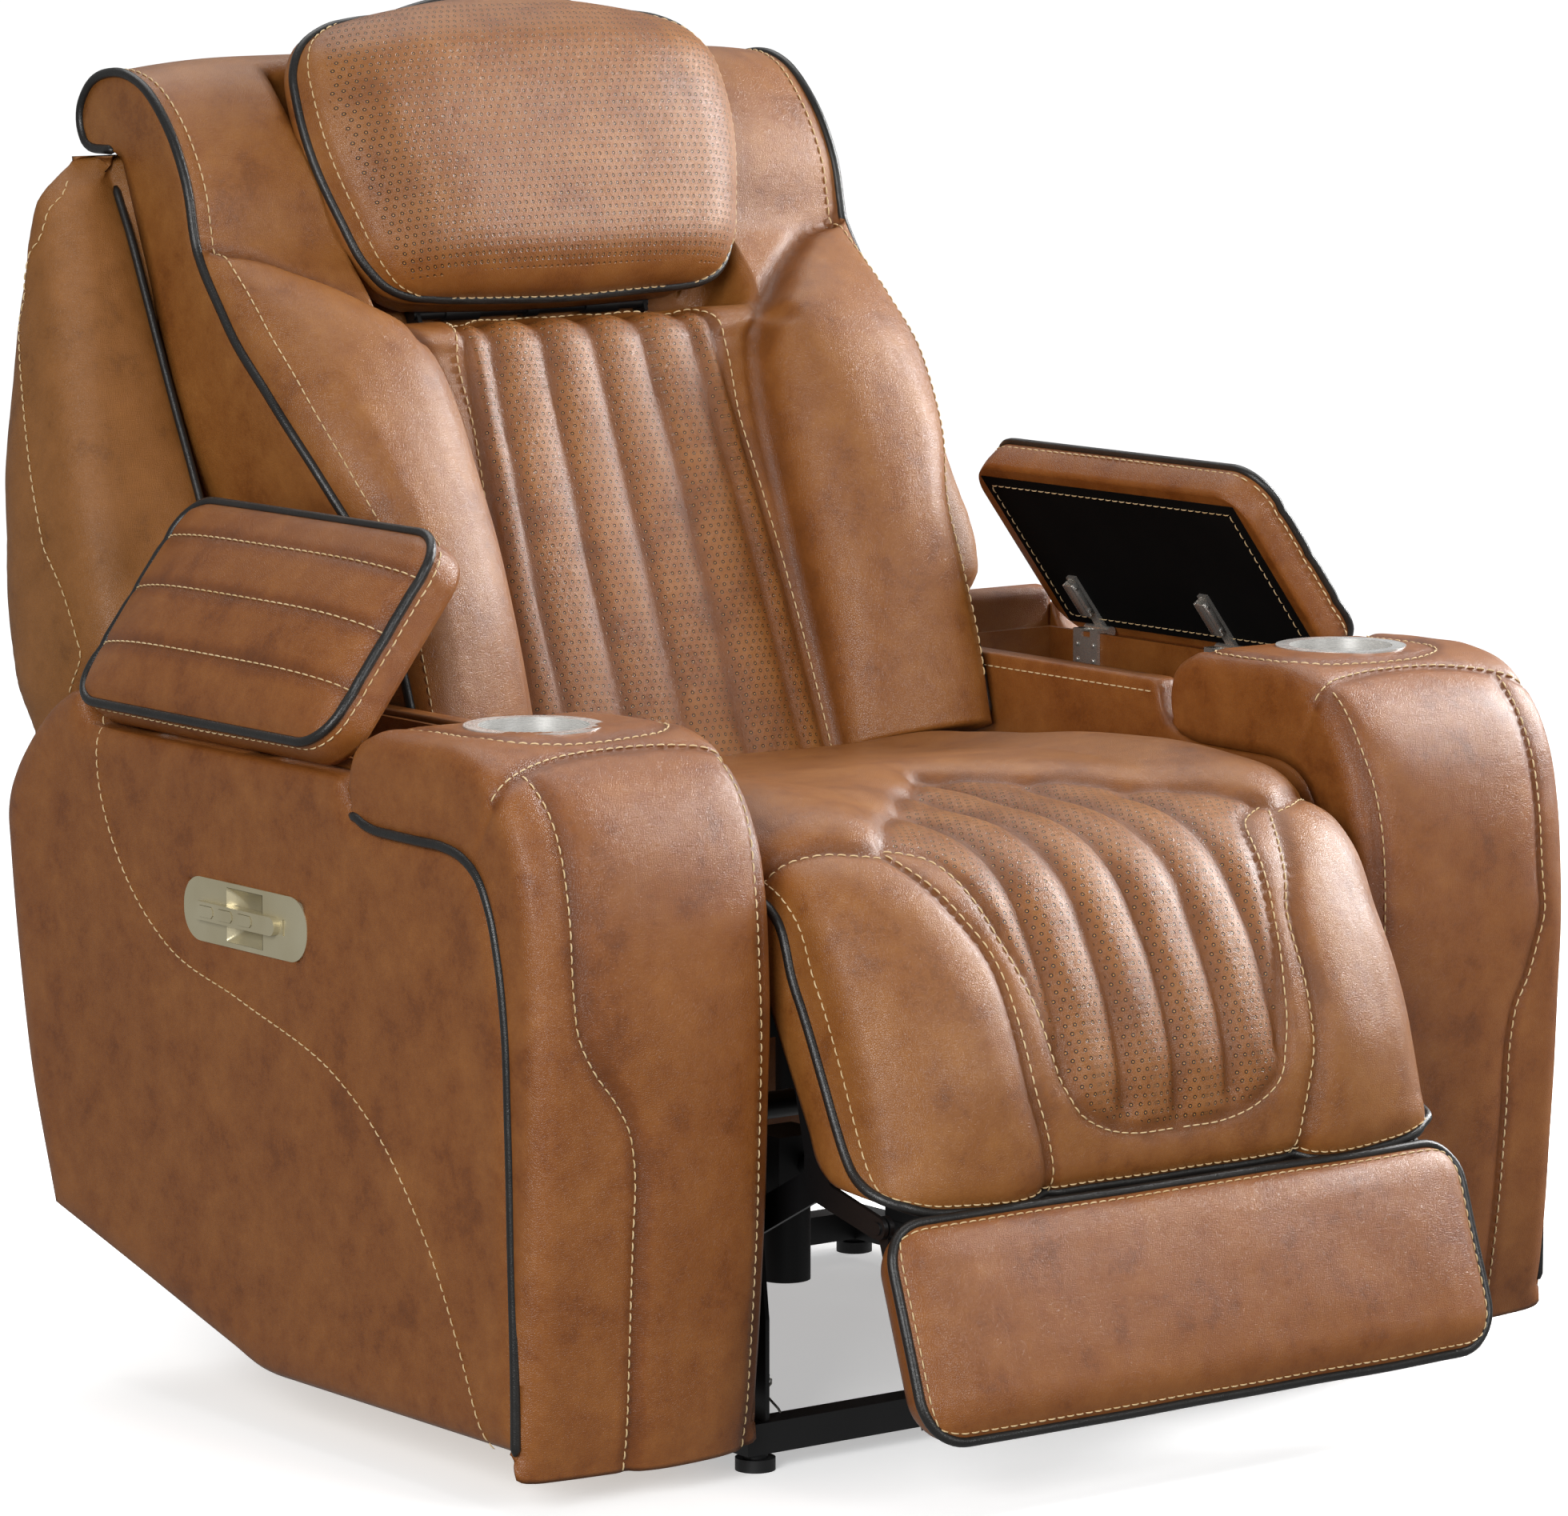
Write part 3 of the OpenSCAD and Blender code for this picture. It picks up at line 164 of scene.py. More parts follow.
# Stuffing that rises from its seams, eased so that no crease is left inside
def puff(away, inside, height, reach=34):
    amount = height * inside * (1 - (1 - np.clip(away / reach, 0, 1))**2)
    for turn in range(26):
        wide = np.pad(amount, 1, mode="edge")
        amount = (amount * 4 + wide[2:, 1:-1] + wide[:-2, 1:-1] + wide[1:-1, 2:]
                  + wide[1:-1, :-2]) / 8
    return amount


# Slack leather: long shallow waves, of about the given size in mm
rng = np.random.default_rng(7)
waves = unit(rng.normal(size=(14, 3)))
phases = rng.uniform(0, fullTurn, 14)


def slack(points, size):
    out = 0
    for i, (way, phase) in enumerate(zip(waves, phases)):
        out = out + np.sin(points @ way * fullTurn / (size * (0.7 + 0.05 * i)) + phase)
    return out / 4


def colour(text):
    values = [int(text[i:i + 2], 16) / 255 for i in (1, 3, 5)]
    return [v / 12.92 if v <= 0.04045 else ((v + 0.055) / 1.055)**2.4 for v in values] + [1]


# What the mode of a node is called in each kind
modeNames = {"Math": "operation", "Mix": "data_type", "Attribute": "attribute_name",
             "TexVoronoi": "feature"}


# A material, its shader, and the function that adds one node with its settings and links
def newMaterial(name):
    made = bpy.data.materials.new(name)
    made.use_nodes = True
    tree = made.node_tree

    def node(kind, sockets=(), mode=None, out=0):
        item = tree.nodes.new("ShaderNode" + kind) if isinstance(kind, str) else kind
        if mode:
            setattr(item, modeNames[kind], mode)
        for key, value in (sockets.items() if isinstance(sockets, dict) else enumerate(sockets)):
            if isinstance(value, bpy.types.NodeSocket):
                tree.links.new(value, item.inputs[key])
            else:
                item.inputs[key].default_value = value
        return item.outputs[out]
    return made, tree.nodes["Principled BSDF"], node


# Punched holes in staggered rows, in mm, drawn a little coarser than the real ones so they show
holes = {"pitch": 7.6, "rows": 6.6, "rim": (1.7, 1.35), "core": (0.9, 0.55), "depth": 2.2,
         "shadow": "#150903", "floor": "#b07a38"}


# Semi-aniline pull-up leather, waxed and embossed: cloudy, with painted shade that darkens it
# towards the seams, and a fine pebble grain that breaks up broad soft highlights
def leather(name, dark, mid, light, punched=False, grain=1.0, rough=0.43):
    made, shader, node = newMaterial(name)
    rest = node("Attribute", (), "rest", "Vector")
    seam = node("Attribute", (), "seam", "Fac")
    # Clouds of 55 mm, patches of 18 mm, flecks of 3 mm, wrinkles of 9 mm and pores of 0.6 mm
    cloud, patch, fleck, wrinkle, pores = [
        node("TexNoise", {"Vector": rest, "Scale": scale, "Detail": detail, "Roughness": fade})
        for scale, detail, fade in ((0.018, 4.0, 0.62), (0.055, 5.0, 0.65), (0.35, 3.0, 0.6),
                                    (0.11, 4.0, 0.6), (1.6, 2.0, 0.6))]
    tone = node("MapRange", (cloud, 0.28, 0.72, 0.14, 0.60))
    for marks in ((patch, 0.28, 0.72, 0.10, 0.34), (fleck, 0.3, 0.7, -0.07, 0.07)):
        tone = node("Math", (tone, node("MapRange", marks)), "ADD")
    # Painted shade: the tone falls to 0.45 at a seam and recovers by 14 mm from it, shading the seam's
    # groove
    seamShade = node("MapRange", (seam, 0.0, 14.0, 0.45, 1.0))
    tone = node("Math", (tone, seamShade), "MULTIPLY")
    first, second = node("MapRange", (tone, 0.0, 0.5)), node("MapRange", (tone, 0.45, 1.0))
    base = node("Mix", {0: first, 6: colour(dark), 7: colour(mid)}, "RGBA", 2)
    base = node("Mix", {0: second, 6: base, 7: colour(light)}, "RGBA", 2)
    cells = node("TexVoronoi", {"Vector": rest, "Scale": 0.62}, "DISTANCE_TO_EDGE")
    height = node("Math", (node("MapRange", (cells, 0.0, 0.16)), 0.55), "MULTIPLY")
    for marks, share in ((pores, 0.5), (wrinkle, 1.6)):
        part = node("Math", (marks, share), "MULTIPLY")
        height = node("Math", (height, part), "ADD")
    if punched:
        dots = node("Attribute", (), "dots", "Vector")
        across, along, inside = node("SeparateXYZ", (dots,)).node.outputs
        row = node("Math", (along, holes["rows"]), "DIVIDE")
        odd = node("Math", (node("Math", (row,), "FLOOR"), 2.0), "MODULO")
        place = node("Math", (node("Math", (across, holes["pitch"]), "DIVIDE"),
                              node("Math", (odd, 0.5), "MULTIPLY")), "ADD")
        squares = []
        for number, pitch in ((place, holes["pitch"]), (row, holes["rows"])):
            part = node("Math", (number,), "FRACT")
            part = node("Math", (part, 0.5), "SUBTRACT")
            part = node("Math", (part, pitch), "MULTIPLY")
            squares.append(node("Math", (part, part), "MULTIPLY"))
        away = node("Math", (node("Math", squares, "ADD"),), "SQRT")
        hole = node("Math", (node("MapRange", (away, *holes["rim"])),
                             node("MapRange", (inside, 0.4, 0.6))), "MULTIPLY")
        within = node("Mix", {0: node("MapRange", (away, *holes["core"])),
                              6: colour(holes["shadow"]), 7: colour(holes["floor"])}, "RGBA", 2)
        base = node("Mix", {0: hole, 6: base, 7: within}, "RGBA", 2)
        sunk = node("Math", (hole, holes["depth"]), "MULTIPLY")
        height = node("Math", (height, sunk), "SUBTRACT")
    gloss = node("MapRange", (pores, 0.3, 0.7, -0.05, 0.07))
    bump = node("Bump", {"Strength": 0.55 * grain, "Distance": 0.00045, "Height": height})
    node(shader, {"Base Color": base, "Normal": bump, "Specular IOR Level": 0.5,
                  "Roughness": node("Math", (rough, gloss), "ADD")})
    return made


# Painted, plated, moulded and woven finishes: two near colours, a grain in marks per metre along
# each axis, and its depth in metres
def finish(name, base, second, rough, metal=0.0, grain=(800, 800, 800), depth=0.00004,
           specular=0.5):
    made, shader, node = newMaterial(name)
    where = node("TexCoord", out="Object")
    stretched = node("Mapping", {"Vector": where, "Scale": grain})
    marks, wear = [
        node("TexNoise", {"Vector": at, "Scale": scale, "Detail": detail, "Roughness": 0.5})
        for at, scale, detail in ((stretched, 1.0, 3.0), (where, 14.0, 4.0))]
    tint = node("Mix", {0: node("MapRange", (wear, 0.35, 0.7)), 6: colour(base),
                        7: colour(second)}, "RGBA", 2)
    bump = node("Bump", {"Strength": 0.6, "Distance": depth, "Height": marks})
    gloss = node("MapRange", (marks, 0.3, 0.7, -0.06, 0.06))
    node(shader, {"Base Color": tint, "Metallic": metal, "Normal": bump,
                  "Specular IOR Level": specular,
                  "Roughness": node("Math", (rough, gloss), "ADD")})
    return made


hide = leather("leather_cognac", "#4f2508", "#7e471a", "#99602c", rough=0.32)
hidePunched = leather("leather_cognac_punched", "#53290a", "#834e1f", "#9d6731", punched=True,
                      rough=0.33)
# A lighter copy of the same cognac leather for the outer back shell: painted light that lifts the
# shade on its sides
hideShellPaintedLight = leather("leather_cognac_shell_painted_light", "#522b0d", "#80501f", "#986330", grain=1.1)
welt = leather("leather_charcoal_welt", "#0e0d0d", "#1b1a19", "#282624", grain=0.5, rough=0.3)
# Bonded polyester thread: matt, with a twist that catches light
thread = finish("polyester_thread_cream", "#d9bf94", "#c6a878", 0.7, grain=(2500, 2500, 2500),
                depth=0.0001)
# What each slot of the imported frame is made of
slotFinish = {
    "leather_brown": hide,
    # Powder coat: satin black with a slight orange peel
    "steel_black": finish("steel_black_powder_coat", "#0d0d0e", "#141415", 0.42,
                          grain=(900, 900, 900)),
    # Nickel plate over pressed steel: bright, drawn along the part
    "steel_bright": finish("steel_nickel_plate", "#cfccc6", "#b3b0aa", 0.26, 0.75,
                           grain=(300, 1200, 1200)),
    # Birch plywood: pale, with grain lines
    "hardwood": finish("plywood_birch", "#c79f6b", "#b58a55", 0.6, grain=(30, 30, 900),
                       depth=0.0001),
    # Needled felt: deep black without a sheen
    "felt_black": finish("felt_black_needled", "#060606", "#0b0a0a", 0.95,
                         grain=(1400, 1400, 1400), depth=0.0003, specular=0.12),
    # Brushed aluminium: turned rings that blur what it mirrors
    "cup_metal": finish("aluminium_brushed_cup", "#dddcd9", "#cbcac7", 0.28, 0.6,
                        grain=(120, 120, 3000)),
    # Satin champagne plating over cast zinc, brushed lengthwise
    "plate_champagne": finish("zinc_champagne_satin", "#cdc4a6", "#c0b594", 0.33, 0.55,
                              grain=(60, 2200, 2200), depth=0.00002),
    # Moulded nylon: even and half matt
    "plastic_black": finish("nylon_black", "#151516", "#1d1d1e", 0.5, grain=(500, 500, 500)),
    "plastic_nut": finish("nylon_ochre", "#8d6a1e", "#775712", 0.5)}
print("materials made")


# Meshes: one object from points and faces, with what the leather shader reads
def newPiece(name, points, faces, material, fields=None):
    mesh = bpy.data.meshes.new(name)
    mesh.from_pydata(placed(points).tolist(), [], [tuple(f) for f in faces])
    mesh.polygons.foreach_set("use_smooth", [True] * len(mesh.polygons))
    mesh.materials.append(material)
    fields = {"rest": points, "seam": np.full(len(points), clearOfSeam), **(fields or {})}
    for key, values in fields.items():
        paint(mesh, key, values)
    made = bpy.data.objects.new(name, mesh)
    scene.collection.objects.link(made)
    return made


def paint(mesh, key, values):
    values = np.asarray(values, np.float32)
    kind, part = ("FLOAT", "value") if values.ndim == 1 else ("FLOAT_VECTOR", "vector")
    mesh.attributes.new(key, kind, "POINT").data.foreach_set(part, values.ravel())


def outward(piece):
    work = bmesh.new()
    work.from_mesh(piece.data)
    bmesh.ops.recalc_face_normals(work, faces=work.faces)
    work.to_mesh(piece.data)
    work.free()


def upholstered(piece, body, stands):
    outward(piece)
    if body:
        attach(piece, body)
    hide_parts(*stands)
    return piece


def numbered(grid):
    return np.arange(grid.shape[0] * grid.shape[1]).reshape(grid.shape[:2])


def ringFaces(first, second):
    n = len(first)
    return [(first[i], first[(i + 1) % n], second[(i + 1) % n], second[i]) for i in range(n)]


def gridFaces(index):
    corners = (index[:-1, :-1], index[1:, :-1], index[1:, 1:], index[:-1, 1:])
    return np.stack([c.ravel() for c in corners], axis=1).tolist()


def border(index):
    return np.concatenate([index[:, 0], index[-1, 1:], index[-2::-1, -1], index[0, -2:0:-1]])


# A stuffed pad: a fine grid over its face, a grid behind it, and a rounded side between them
class Pad:
    def __init__(self, name, a, b, top, under, bulge=0.0, steps=5):
        self.name = name
        self.a = np.asarray(a, float)
        self.b = np.asarray(b, float)
        self.top = np.array(top, float)
        self.under = np.array(under, float)
        self.bulge = bulge
        self.steps = steps
        self.seam = np.full(self.top.shape[:2], clearOfSeam)
        self.dots = np.zeros(self.top.shape)
        self.holes = np.zeros(self.top.shape[:2], bool)
        self.material = hide
        self.turn()

    def turn(self):
        du, dv = np.gradient(self.top, axis=(0, 1))
        self.normal = unit(np.cross(du, dv))
        middle = self.top.shape[0] // 2, self.top.shape[1] // 2
        if self.normal[middle] @ (self.top - self.under)[middle] < 0:
            self.normal = -self.normal

    def away(self, lines):
        plan = np.stack(spread(self.a, self.b), axis=-1)
        return distance(plan.reshape(-1, 2), lines).reshape(self.top.shape[:2])

    def dent(self, lines, depth, reach):
        d = self.away(lines)
        self.top = self.top - self.normal * (depth * np.clip(1 - d / reach, 0, 1)**2)[..., None]
        self.seam = np.minimum(self.seam, d)
        self.turn()

    def swell(self, amount):
        self.top = self.top + self.normal * np.asarray(amount)[..., None]
        self.turn()

    def punch(self, across, along, inside):
        self.dots = np.stack([across, along, inside], axis=-1)
        self.material = hidePunched

    def rim(self, grid):
        return grid.reshape(-1, 3)[border(numbered(grid))]

    def on(self, points, lift=0.0):
        points = np.asarray(points, float)
        i = np.interp(points[:, 0], self.a, np.arange(len(self.a)))
        j = np.interp(points[:, 1], self.b, np.arange(len(self.b)))
        i0 = np.clip(i.astype(int), 0, len(self.a) - 2)
        j0 = np.clip(j.astype(int), 0, len(self.b) - 2)
        u = (i - i0)[:, None]
        v = (j - j0)[:, None]
        spot, normal = [(1 - u) * (1 - v) * grid[i0, j0] + u * (1 - v) * grid[i0 + 1, j0]
                        + (1 - u) * v * grid[i0, j0 + 1] + u * v * grid[i0 + 1, j0 + 1]
                        for grid in (self.top, self.normal)]
        return spot + unit(normal) * lift, unit(normal)

    def build(self, body, stands):
        index = numbered(self.top)
        edge = border(index)
        loop = self.rim(self.top)
        low = self.rim(self.under)
        out = unit(np.cross(np.roll(loop, -1, axis=0) - np.roll(loop, 1, axis=0), loop - low))
        if ((loop - loop.mean(axis=0)) * out).sum() < 0:
            out = -out
        points = [self.top.reshape(-1, 3)]
        faces = gridFaces(index)
        count = index.size
        for k in range(1, self.steps):
            t = k / self.steps
            points.append(loop * (1 - t) + low * t + out * self.bulge * 4 * t * (1 - t))
            ring = np.arange(count, count + len(loop))
            faces += ringFaces(edge, ring)
            edge = ring
            count += len(loop)
        points.append(self.under.reshape(-1, 3))
        back = index + count
        faces += gridFaces(back[::-1])
        faces += ringFaces(edge, border(back))
        points = np.concatenate(points)
        seam = np.full(len(points), clearOfSeam)
        seam[:index.size] = self.seam.ravel()
        dots = np.zeros((len(points), 3))
        dots[:index.size] = self.dots.reshape(-1, 3)
        gone = np.zeros(len(points), bool)
        gone[:index.size] = self.holes.ravel()
        faces = [f for f in faces if not (gone[f[0]] and gone[f[2]])]
        piece = newPiece(self.name, points, faces, self.material, {"seam": seam, "dots": dots})
        return upholstered(piece, body, stands)


# Sewing: arched stitches in rows, and welts along edges, in mm
stitch = {"pitch": 9.2, "length": 7.2, "thick": 0.62, "proud": 0.25,
          "along": np.array([0.0, 0.12, 0.5, 0.88, 1.0]),
          "girth": np.array([0.3, 0.95, 1.1, 0.95, 0.3]),
          "arch": np.array([-0.6, 0.1, 0.45, 0.1, -0.6])}
weltRadius = 4.2
stitchSets = {}
tubeSets = {}


def sew(group, points, normals, thick=stitch["thick"]):
    s = lengths(points)
    count = int(s[-1] / stitch["pitch"])
    start = (np.arange(count) + 0.5) * s[-1] / count - stitch["length"] / 2
    a = curve(s, points, start, even=False)
    b = curve(s, points, start + stitch["length"], even=False)
    n = unit(curve(s, normals, start + stitch["length"] / 2, even=False))
    stitchSets.setdefault(group, []).append((a, b, n, thick))


def sewOn(pad, group, line, smooth=True):
    sew(group, *pad.on(smoothPath(line) if smooth else straight(line), 0.2))


def tube(group, path, radius=weltRadius, closed=False, sides=10):
    path = np.asarray(path, float)
    if closed:
        d = unit(np.roll(path, -1, axis=0) - np.roll(path, 1, axis=0))
    else:
        d = unit(np.gradient(path, axis=0))
    u = np.zeros_like(path)
    start = np.array([0.0, 0, 1]) if abs(d[0][2]) < 0.9 else np.array([1.0, 0, 0])
    u[0] = unit(start - d[0] * (start @ d[0]))
    for i in range(1, len(path)):
        u[i] = unit(u[i - 1] - d[i] * (u[i - 1] @ d[i]))
    v = np.cross(d, u)
    if closed:
        w = u[-1] - d[0] * (u[-1] @ d[0])
        turn = -math.atan2(w @ v[0], w @ u[0]) * np.arange(len(path))[:, None] / len(path)
        u, v = u * np.cos(turn) + v * np.sin(turn), v * np.cos(turn) - u * np.sin(turn)
    turns = (np.arange(sides) * 2 * math.pi / sides)[None, :, None]
    size = np.full(len(path), float(radius))
    if not closed:
        size[0] = size[-1] = radius * 0.5
    block = path[:, None] + size[:, None, None] * (np.cos(turns) * u[:, None]
                                                   + np.sin(turns) * v[:, None])
    tubeSets.setdefault(group, []).append((block, closed))


def pipeRound(pad, group, every, radius):
    tube(group, smoothPath(pad.rim(pad.top)[::every], 5, closed=True), radius, closed=True)


# The stitches of a group as one piece, and its welts as another
def seamPieces(group):
    verts, faces, count = [], [], 0
    turns = (np.arange(6) * math.pi / 3)[None, :, None]
    for a, b, n, thick in stitchSets[group]:
        side = unit(np.cross(b - a, n))
        line = a[:, None] + (b - a)[:, None] * stitch["along"][None, :, None]
        line = line + n[:, None] * (stitch["arch"] + stitch["proud"])[None, :, None]
        ring = np.cos(turns) * n[:, None] + np.sin(turns) * side[:, None]
        block = line[:, :, None] + ring[:, None] * (stitch["girth"] * thick)[None, :, None, None]
        index = np.arange(len(block) * 30).reshape(-1, 5, 6) + count
        wrapped = np.concatenate([index, index[:, :, :1]], axis=2)
        for one in wrapped:
            faces += gridFaces(one.T)
        verts.append(block.reshape(-1, 3))
        count += len(block) * 30
    sewn = newPiece("stitches_" + group, np.concatenate(verts), faces, thread)
    verts, faces, count = [], [], 0
    for block, closed in tubeSets[group]:
        index = numbered(block) + count
        rows = np.concatenate([index, index[:1]]) if closed else index
        faces += gridFaces(np.concatenate([rows, rows[:, :1]], axis=1))
        if not closed:
            faces += [tuple(index[0][::-1]), tuple(index[-1])]
        verts.append(block.reshape(-1, 3))
        count += index.size
    piped = newPiece("welt_" + group, np.concatenate(verts), faces, welt)
    outward(piped)
    return [sewn, piped]


def rideSeams(group, body):
    for piece in seamPieces(group):
        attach(piece, body)


# Seat and calf: one cover that folds over the front of the seat
seat = {"half": 285, "corner": 22, "thigh": 12, "lobe": 13, "side": 9, "calf": 21,
        "channel": (8.0, 25), "borderSeam": (4.0, 12), "lobeSeam": (4.5, 14), "column": 54.5,
        "blendStart": (0, -470, 455), "blendEnd": (0, -575, 395)}
frontFold = np.array([-540.0, 430.0])
crestLine = np.concatenate([
    [[45, 467], [0, 485], [-80, 491], [-180, 495], [-290, 503], [-390, 501], [-460, 486],
     [-508, 460], [-540, 430.3]],
    frontFold + [[-13, -19], [-28, -44], [-43, -75], [-55, -108], [-63, -140], [-68, -168],
                 [-68, -188], [-59, -199]]])
edgeLine = np.concatenate([
    [[45, 430], [0, 440], [-80, 446], [-180, 450], [-290, 452], [-390, 453], [-440, 451],
     [-464, 443], [-478, 424]],
    frontFold + [[53, -34], [42, -54], [28, -79], [12, -110], [-4, -142], [-20, -168],
                 [-38, -186], [-56, -197]]])
underLine = np.concatenate([
    [[45, 401.6], [0, 401.6], [-80, 401.6], [-180, 401.6], [-290, 401.6], [-380, 403],
     [-410, 406], [-435, 412], [-450, 396]],
    frontFold + [[86, -44], [74, -65.7], [60, -91.1], [44, -120], [28, -149], [12, -178],
                 [-14, -192], [-40, -197]]])
seatKnots = lengths(crestLine)
seatLong = seatKnots[-1]
foldRow = seatKnots[8]
seatRows = rowsOf(0, seatLong)
seatColumns = rowsOf(-seat["half"], seat["half"])
crestAt, edgeAt, underAt = [curve(seatKnots, line, seatRows, even=False)
                            for line in (crestLine, edgeLine, underLine)]
u, v = spread(seatColumns, seatRows)
size = np.abs(u)
share = curve([0, 175, 210, 250, 275, 285], [1, 0.97, 0.92, 0.76, 0.42, 0.06],
              np.abs(seatColumns))[:, None, None]
x, y = rounded(u, v, (-seat["half"], seat["half"], 0, seatLong),
               (0, 0, seat["corner"], seat["corner"]))
drop = (v - y)[..., None] * unit(crestAt[-6] - crestAt[-1])
seatPad = Pad("cover_seat_calf", seatColumns, seatRows,
              joined(x, edgeAt[None] * (1 - share) + crestAt[None] * share + drop),
              joined(x, underAt[None] + drop), 3.0, 7)
thigh = curve([0, 0.25, 0.5, 0.76, 0.93, 1], [0, 0.5, 0.95, 0.7, 0.2, 0],
              (np.abs(seatColumns) - 150) / 135)
fade = curve(seatKnots[:9], [0, 0.4, 1, 1, 1, 1, 0.8, 0.4, 0], seatRows) * (seatRows < foldRow)
seatPad.swell(seat["thigh"] * thigh[:, None] * fade[None])
seatPad.swell(slack(seatPad.top, 90) * 0.5)
seatPad.swell(seat["calf"] * ramp(v, 430, 590) * (1 - 0.6 * ramp(v, 730, 826))
              * (1 - (size / seat["half"])**3))

# Front edge of the thigh pads, border of the punched panel, and inner seam of the side pads
lobeX = np.array([0, 50, 85, 110, 158, 190, 202, 221, 240, 258, 285])
lobeS = np.array([335, 392, 418, 452, 492, 530, 541, 536, 524, 514, 505])
lobes = mirrored(smoothPath(np.stack([lobeX, lobeS], 1), 6))
borders = mirrored(smoothPath([
    [189, 533], [160, 551], [149, 576], [142, 601], [135, 630], [128, 659], [122, 687], [116, 722],
    [109, 746], [98, 766], [77, 779], [45, 787], [0, 788]], 6))
sides = mirrored(smoothPath([
    [202, 541], [184, 578], [170, 608], [158, 633], [153, 660], [152, 688], [150, 717], [146, 749],
    [139, 775], [134, 795], [128, 826]], 6))
channels = [[[x, curve(lobeX, lobeS, abs(x)) + 16], [x, end]]
            for x, end in ((-109, 738), (-54, 768), (0, 776), (54, 768), (109, 738))]
inLobe = v < curve(lobeX, lobeS, size)
inSide = (size > curve(sides[0][:, 1], sides[0][:, 0], v)) & (v > 505) & ~inLobe
seatPad.swell(puff(seatPad.away(lobes), inLobe, seat["lobe"] * (1 - 0.7 * ramp(300 - v, 0, 200)))
              + puff(seatPad.away(sides + lobes), inSide, seat["side"]) * ramp(size, 286, 262))
seatPad.dent(channels, *seat["channel"])
seatPad.dent(borders, *seat["borderSeam"])
seatPad.dent(sides + lobes, *seat["lobeSeam"])
punchedHalf = np.where(v < 533, 190, curve(borders[0][:, 1], borders[0][:, 0], v))
inPanel = (size < punchedHalf) & ~inLobe & (v < 787)
seatPad.punch(np.mod(u + 27, seat["column"]), v,
              inPanel & (seatPad.away(borders + lobes) > 5) & (seatPad.away(channels) > 3))
cover = seatPad.build(None, ("seat_cushion", "calf_cushion"))
print("seat cover made")

for line in (mirrored(borders[0] + [4, 2]) + mirrored(sides[0] - [5, 0])
             + mirrored(np.stack([lobeX[6:], lobeS[6:] + 5], 1))):
    sewOn(seatPad, "seat", line)
sewOn(seatPad, "seat", [[-277, 60], [-277, seatLong - 8], [277, seatLong - 8], [277, 60]],
      smooth=False)
points = seatPad.on(np.concatenate([
    np.linspace([-285, 60], [-285, seatLong], 150),
    np.linspace([-281, seatLong], [281, seatLong], 120),
    np.linspace([285, seatLong], [285, 60], 150)]))[0]
tube("seat", smoothPath(points[::3], 5))
for piece in [cover] + seamPieces("seat"):
    tuple(placed(seat["blendStart"]))
    tuple(placed(seat["blendEnd"]))
    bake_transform(piece)

# Footrest pad
foot = {"half": 291, "rows": (-9, 161), "crown": 22, "thick": 26, "corners": (34, 34, 38, 38)}
footTop = np.array([-617.0, 212.0])
footDown = np.array([-0.32887, -0.94438])
footOut = np.array([-0.94438, 0.32887])
footRows = rowsOf(*foot["rows"])
footColumns = rowsOf(-foot["half"], foot["half"])
footShare = curve([0, 110, 200, 255, 281, 291], [1, 1, 0.97, 0.82, 0.45, 0.08],
                  np.abs(footColumns))
footSwell = curve(np.array([0, 0.06, 0.26, 0.5, 0.74, 0.94, 1]) * 170 - 9,
                  [0.08, 0.6, 0.95, 1, 0.95, 0.55, 0.08], footRows)
u, v = spread(footColumns, footRows)
x, y = rounded(u, v, (-foot["half"], foot["half"], *foot["rows"]), foot["corners"])
height = foot["crown"] * footSwell[None] * footShare[:, None]
face = footTop + footDown * y[..., None]
inner = footTop + footDown * (76 + (y[..., None] - 76) * 0.94)
footPad = Pad("pad_footrest", footColumns, footRows, joined(x, face + footOut * height[..., None]),
              joined(x * 0.972, inner - footOut * foot["thick"]), 2.0, 5)
footPad.swell(slack(footPad.top, 110) * 0.6)
footPad.build("footrest", ("footrest_cushion",))
sewOn(footPad, "footrest", [[-285, -3], [-285, 155], [285, 155], [285, -3], [-285, -3]],
      smooth=False)
pipeRound(footPad, "footrest", 3, weltRadius)
rideSeams("footrest", "footrest")
print("footrest made")

# Back pad, drawn along its lean: t up from the seat, n forward
back = {"half": 342, "panel": 149, "bolster": 56, "shoulder": 11, "panelTop": 431.0,
        "quilt": (6.5, 28), "seams": (6.0, 14), "column": 60}
lean = math.radians(22.3)


def onBack(t, n):
    t = np.asarray(t, float)
    n = np.asarray(n, float)
    return np.stack([19 + t * math.sin(lean) - n * math.cos(lean),
                     490 + t * math.cos(lean) + n * math.sin(lean)], axis=-1)


backFront = [
    [-8, 31], [58, 35], [130, 34], [200, 27], [260, 19], [335, -3], [396, -32], [430, -43],
    [483, -57], [544, -51], [600, -61], [645, -85], [667, -115], [672, -163], [653, -187],
    [628, -188]]
backRear = [
    [8, -142], [58, -147], [130, -149], [200, -149], [260, -148], [335, -146], [390, -143],
    [430, -141], [483, -138], [520, -138], [550, -138], [575, -138], [590, -138], [596, -139],
    [602, -143], [608, -148]]
backRise = [0.55, 0.72, 0.9, 0.97, 1, 1, 0.85, 0.6, 0.2, 0, 0, 0, 0, 0, 0, 0]
backKnots = lengths(backFront)
backLong = backKnots[-1]
backRows = rowsOf(0, backLong)
backColumns = rowsOf(-back["half"], back["half"])
frontAt = curve(backKnots, backFront, backRows, even=False)
rearAt = curve(backKnots, backRear, backRows, even=False)
riseAt = curve(backKnots, backRise, backRows)
u, v = spread(backColumns, backRows)
size = np.abs(u)
t, edge = [np.repeat(frontAt[None, :, i], len(backColumns), 0) for i in (0, 1)]
panelHalf = back["panel"]
bolsterWide = back["half"] - panelHalf
share = np.clip((size - panelHalf) / bolsterWide, 0, 1)
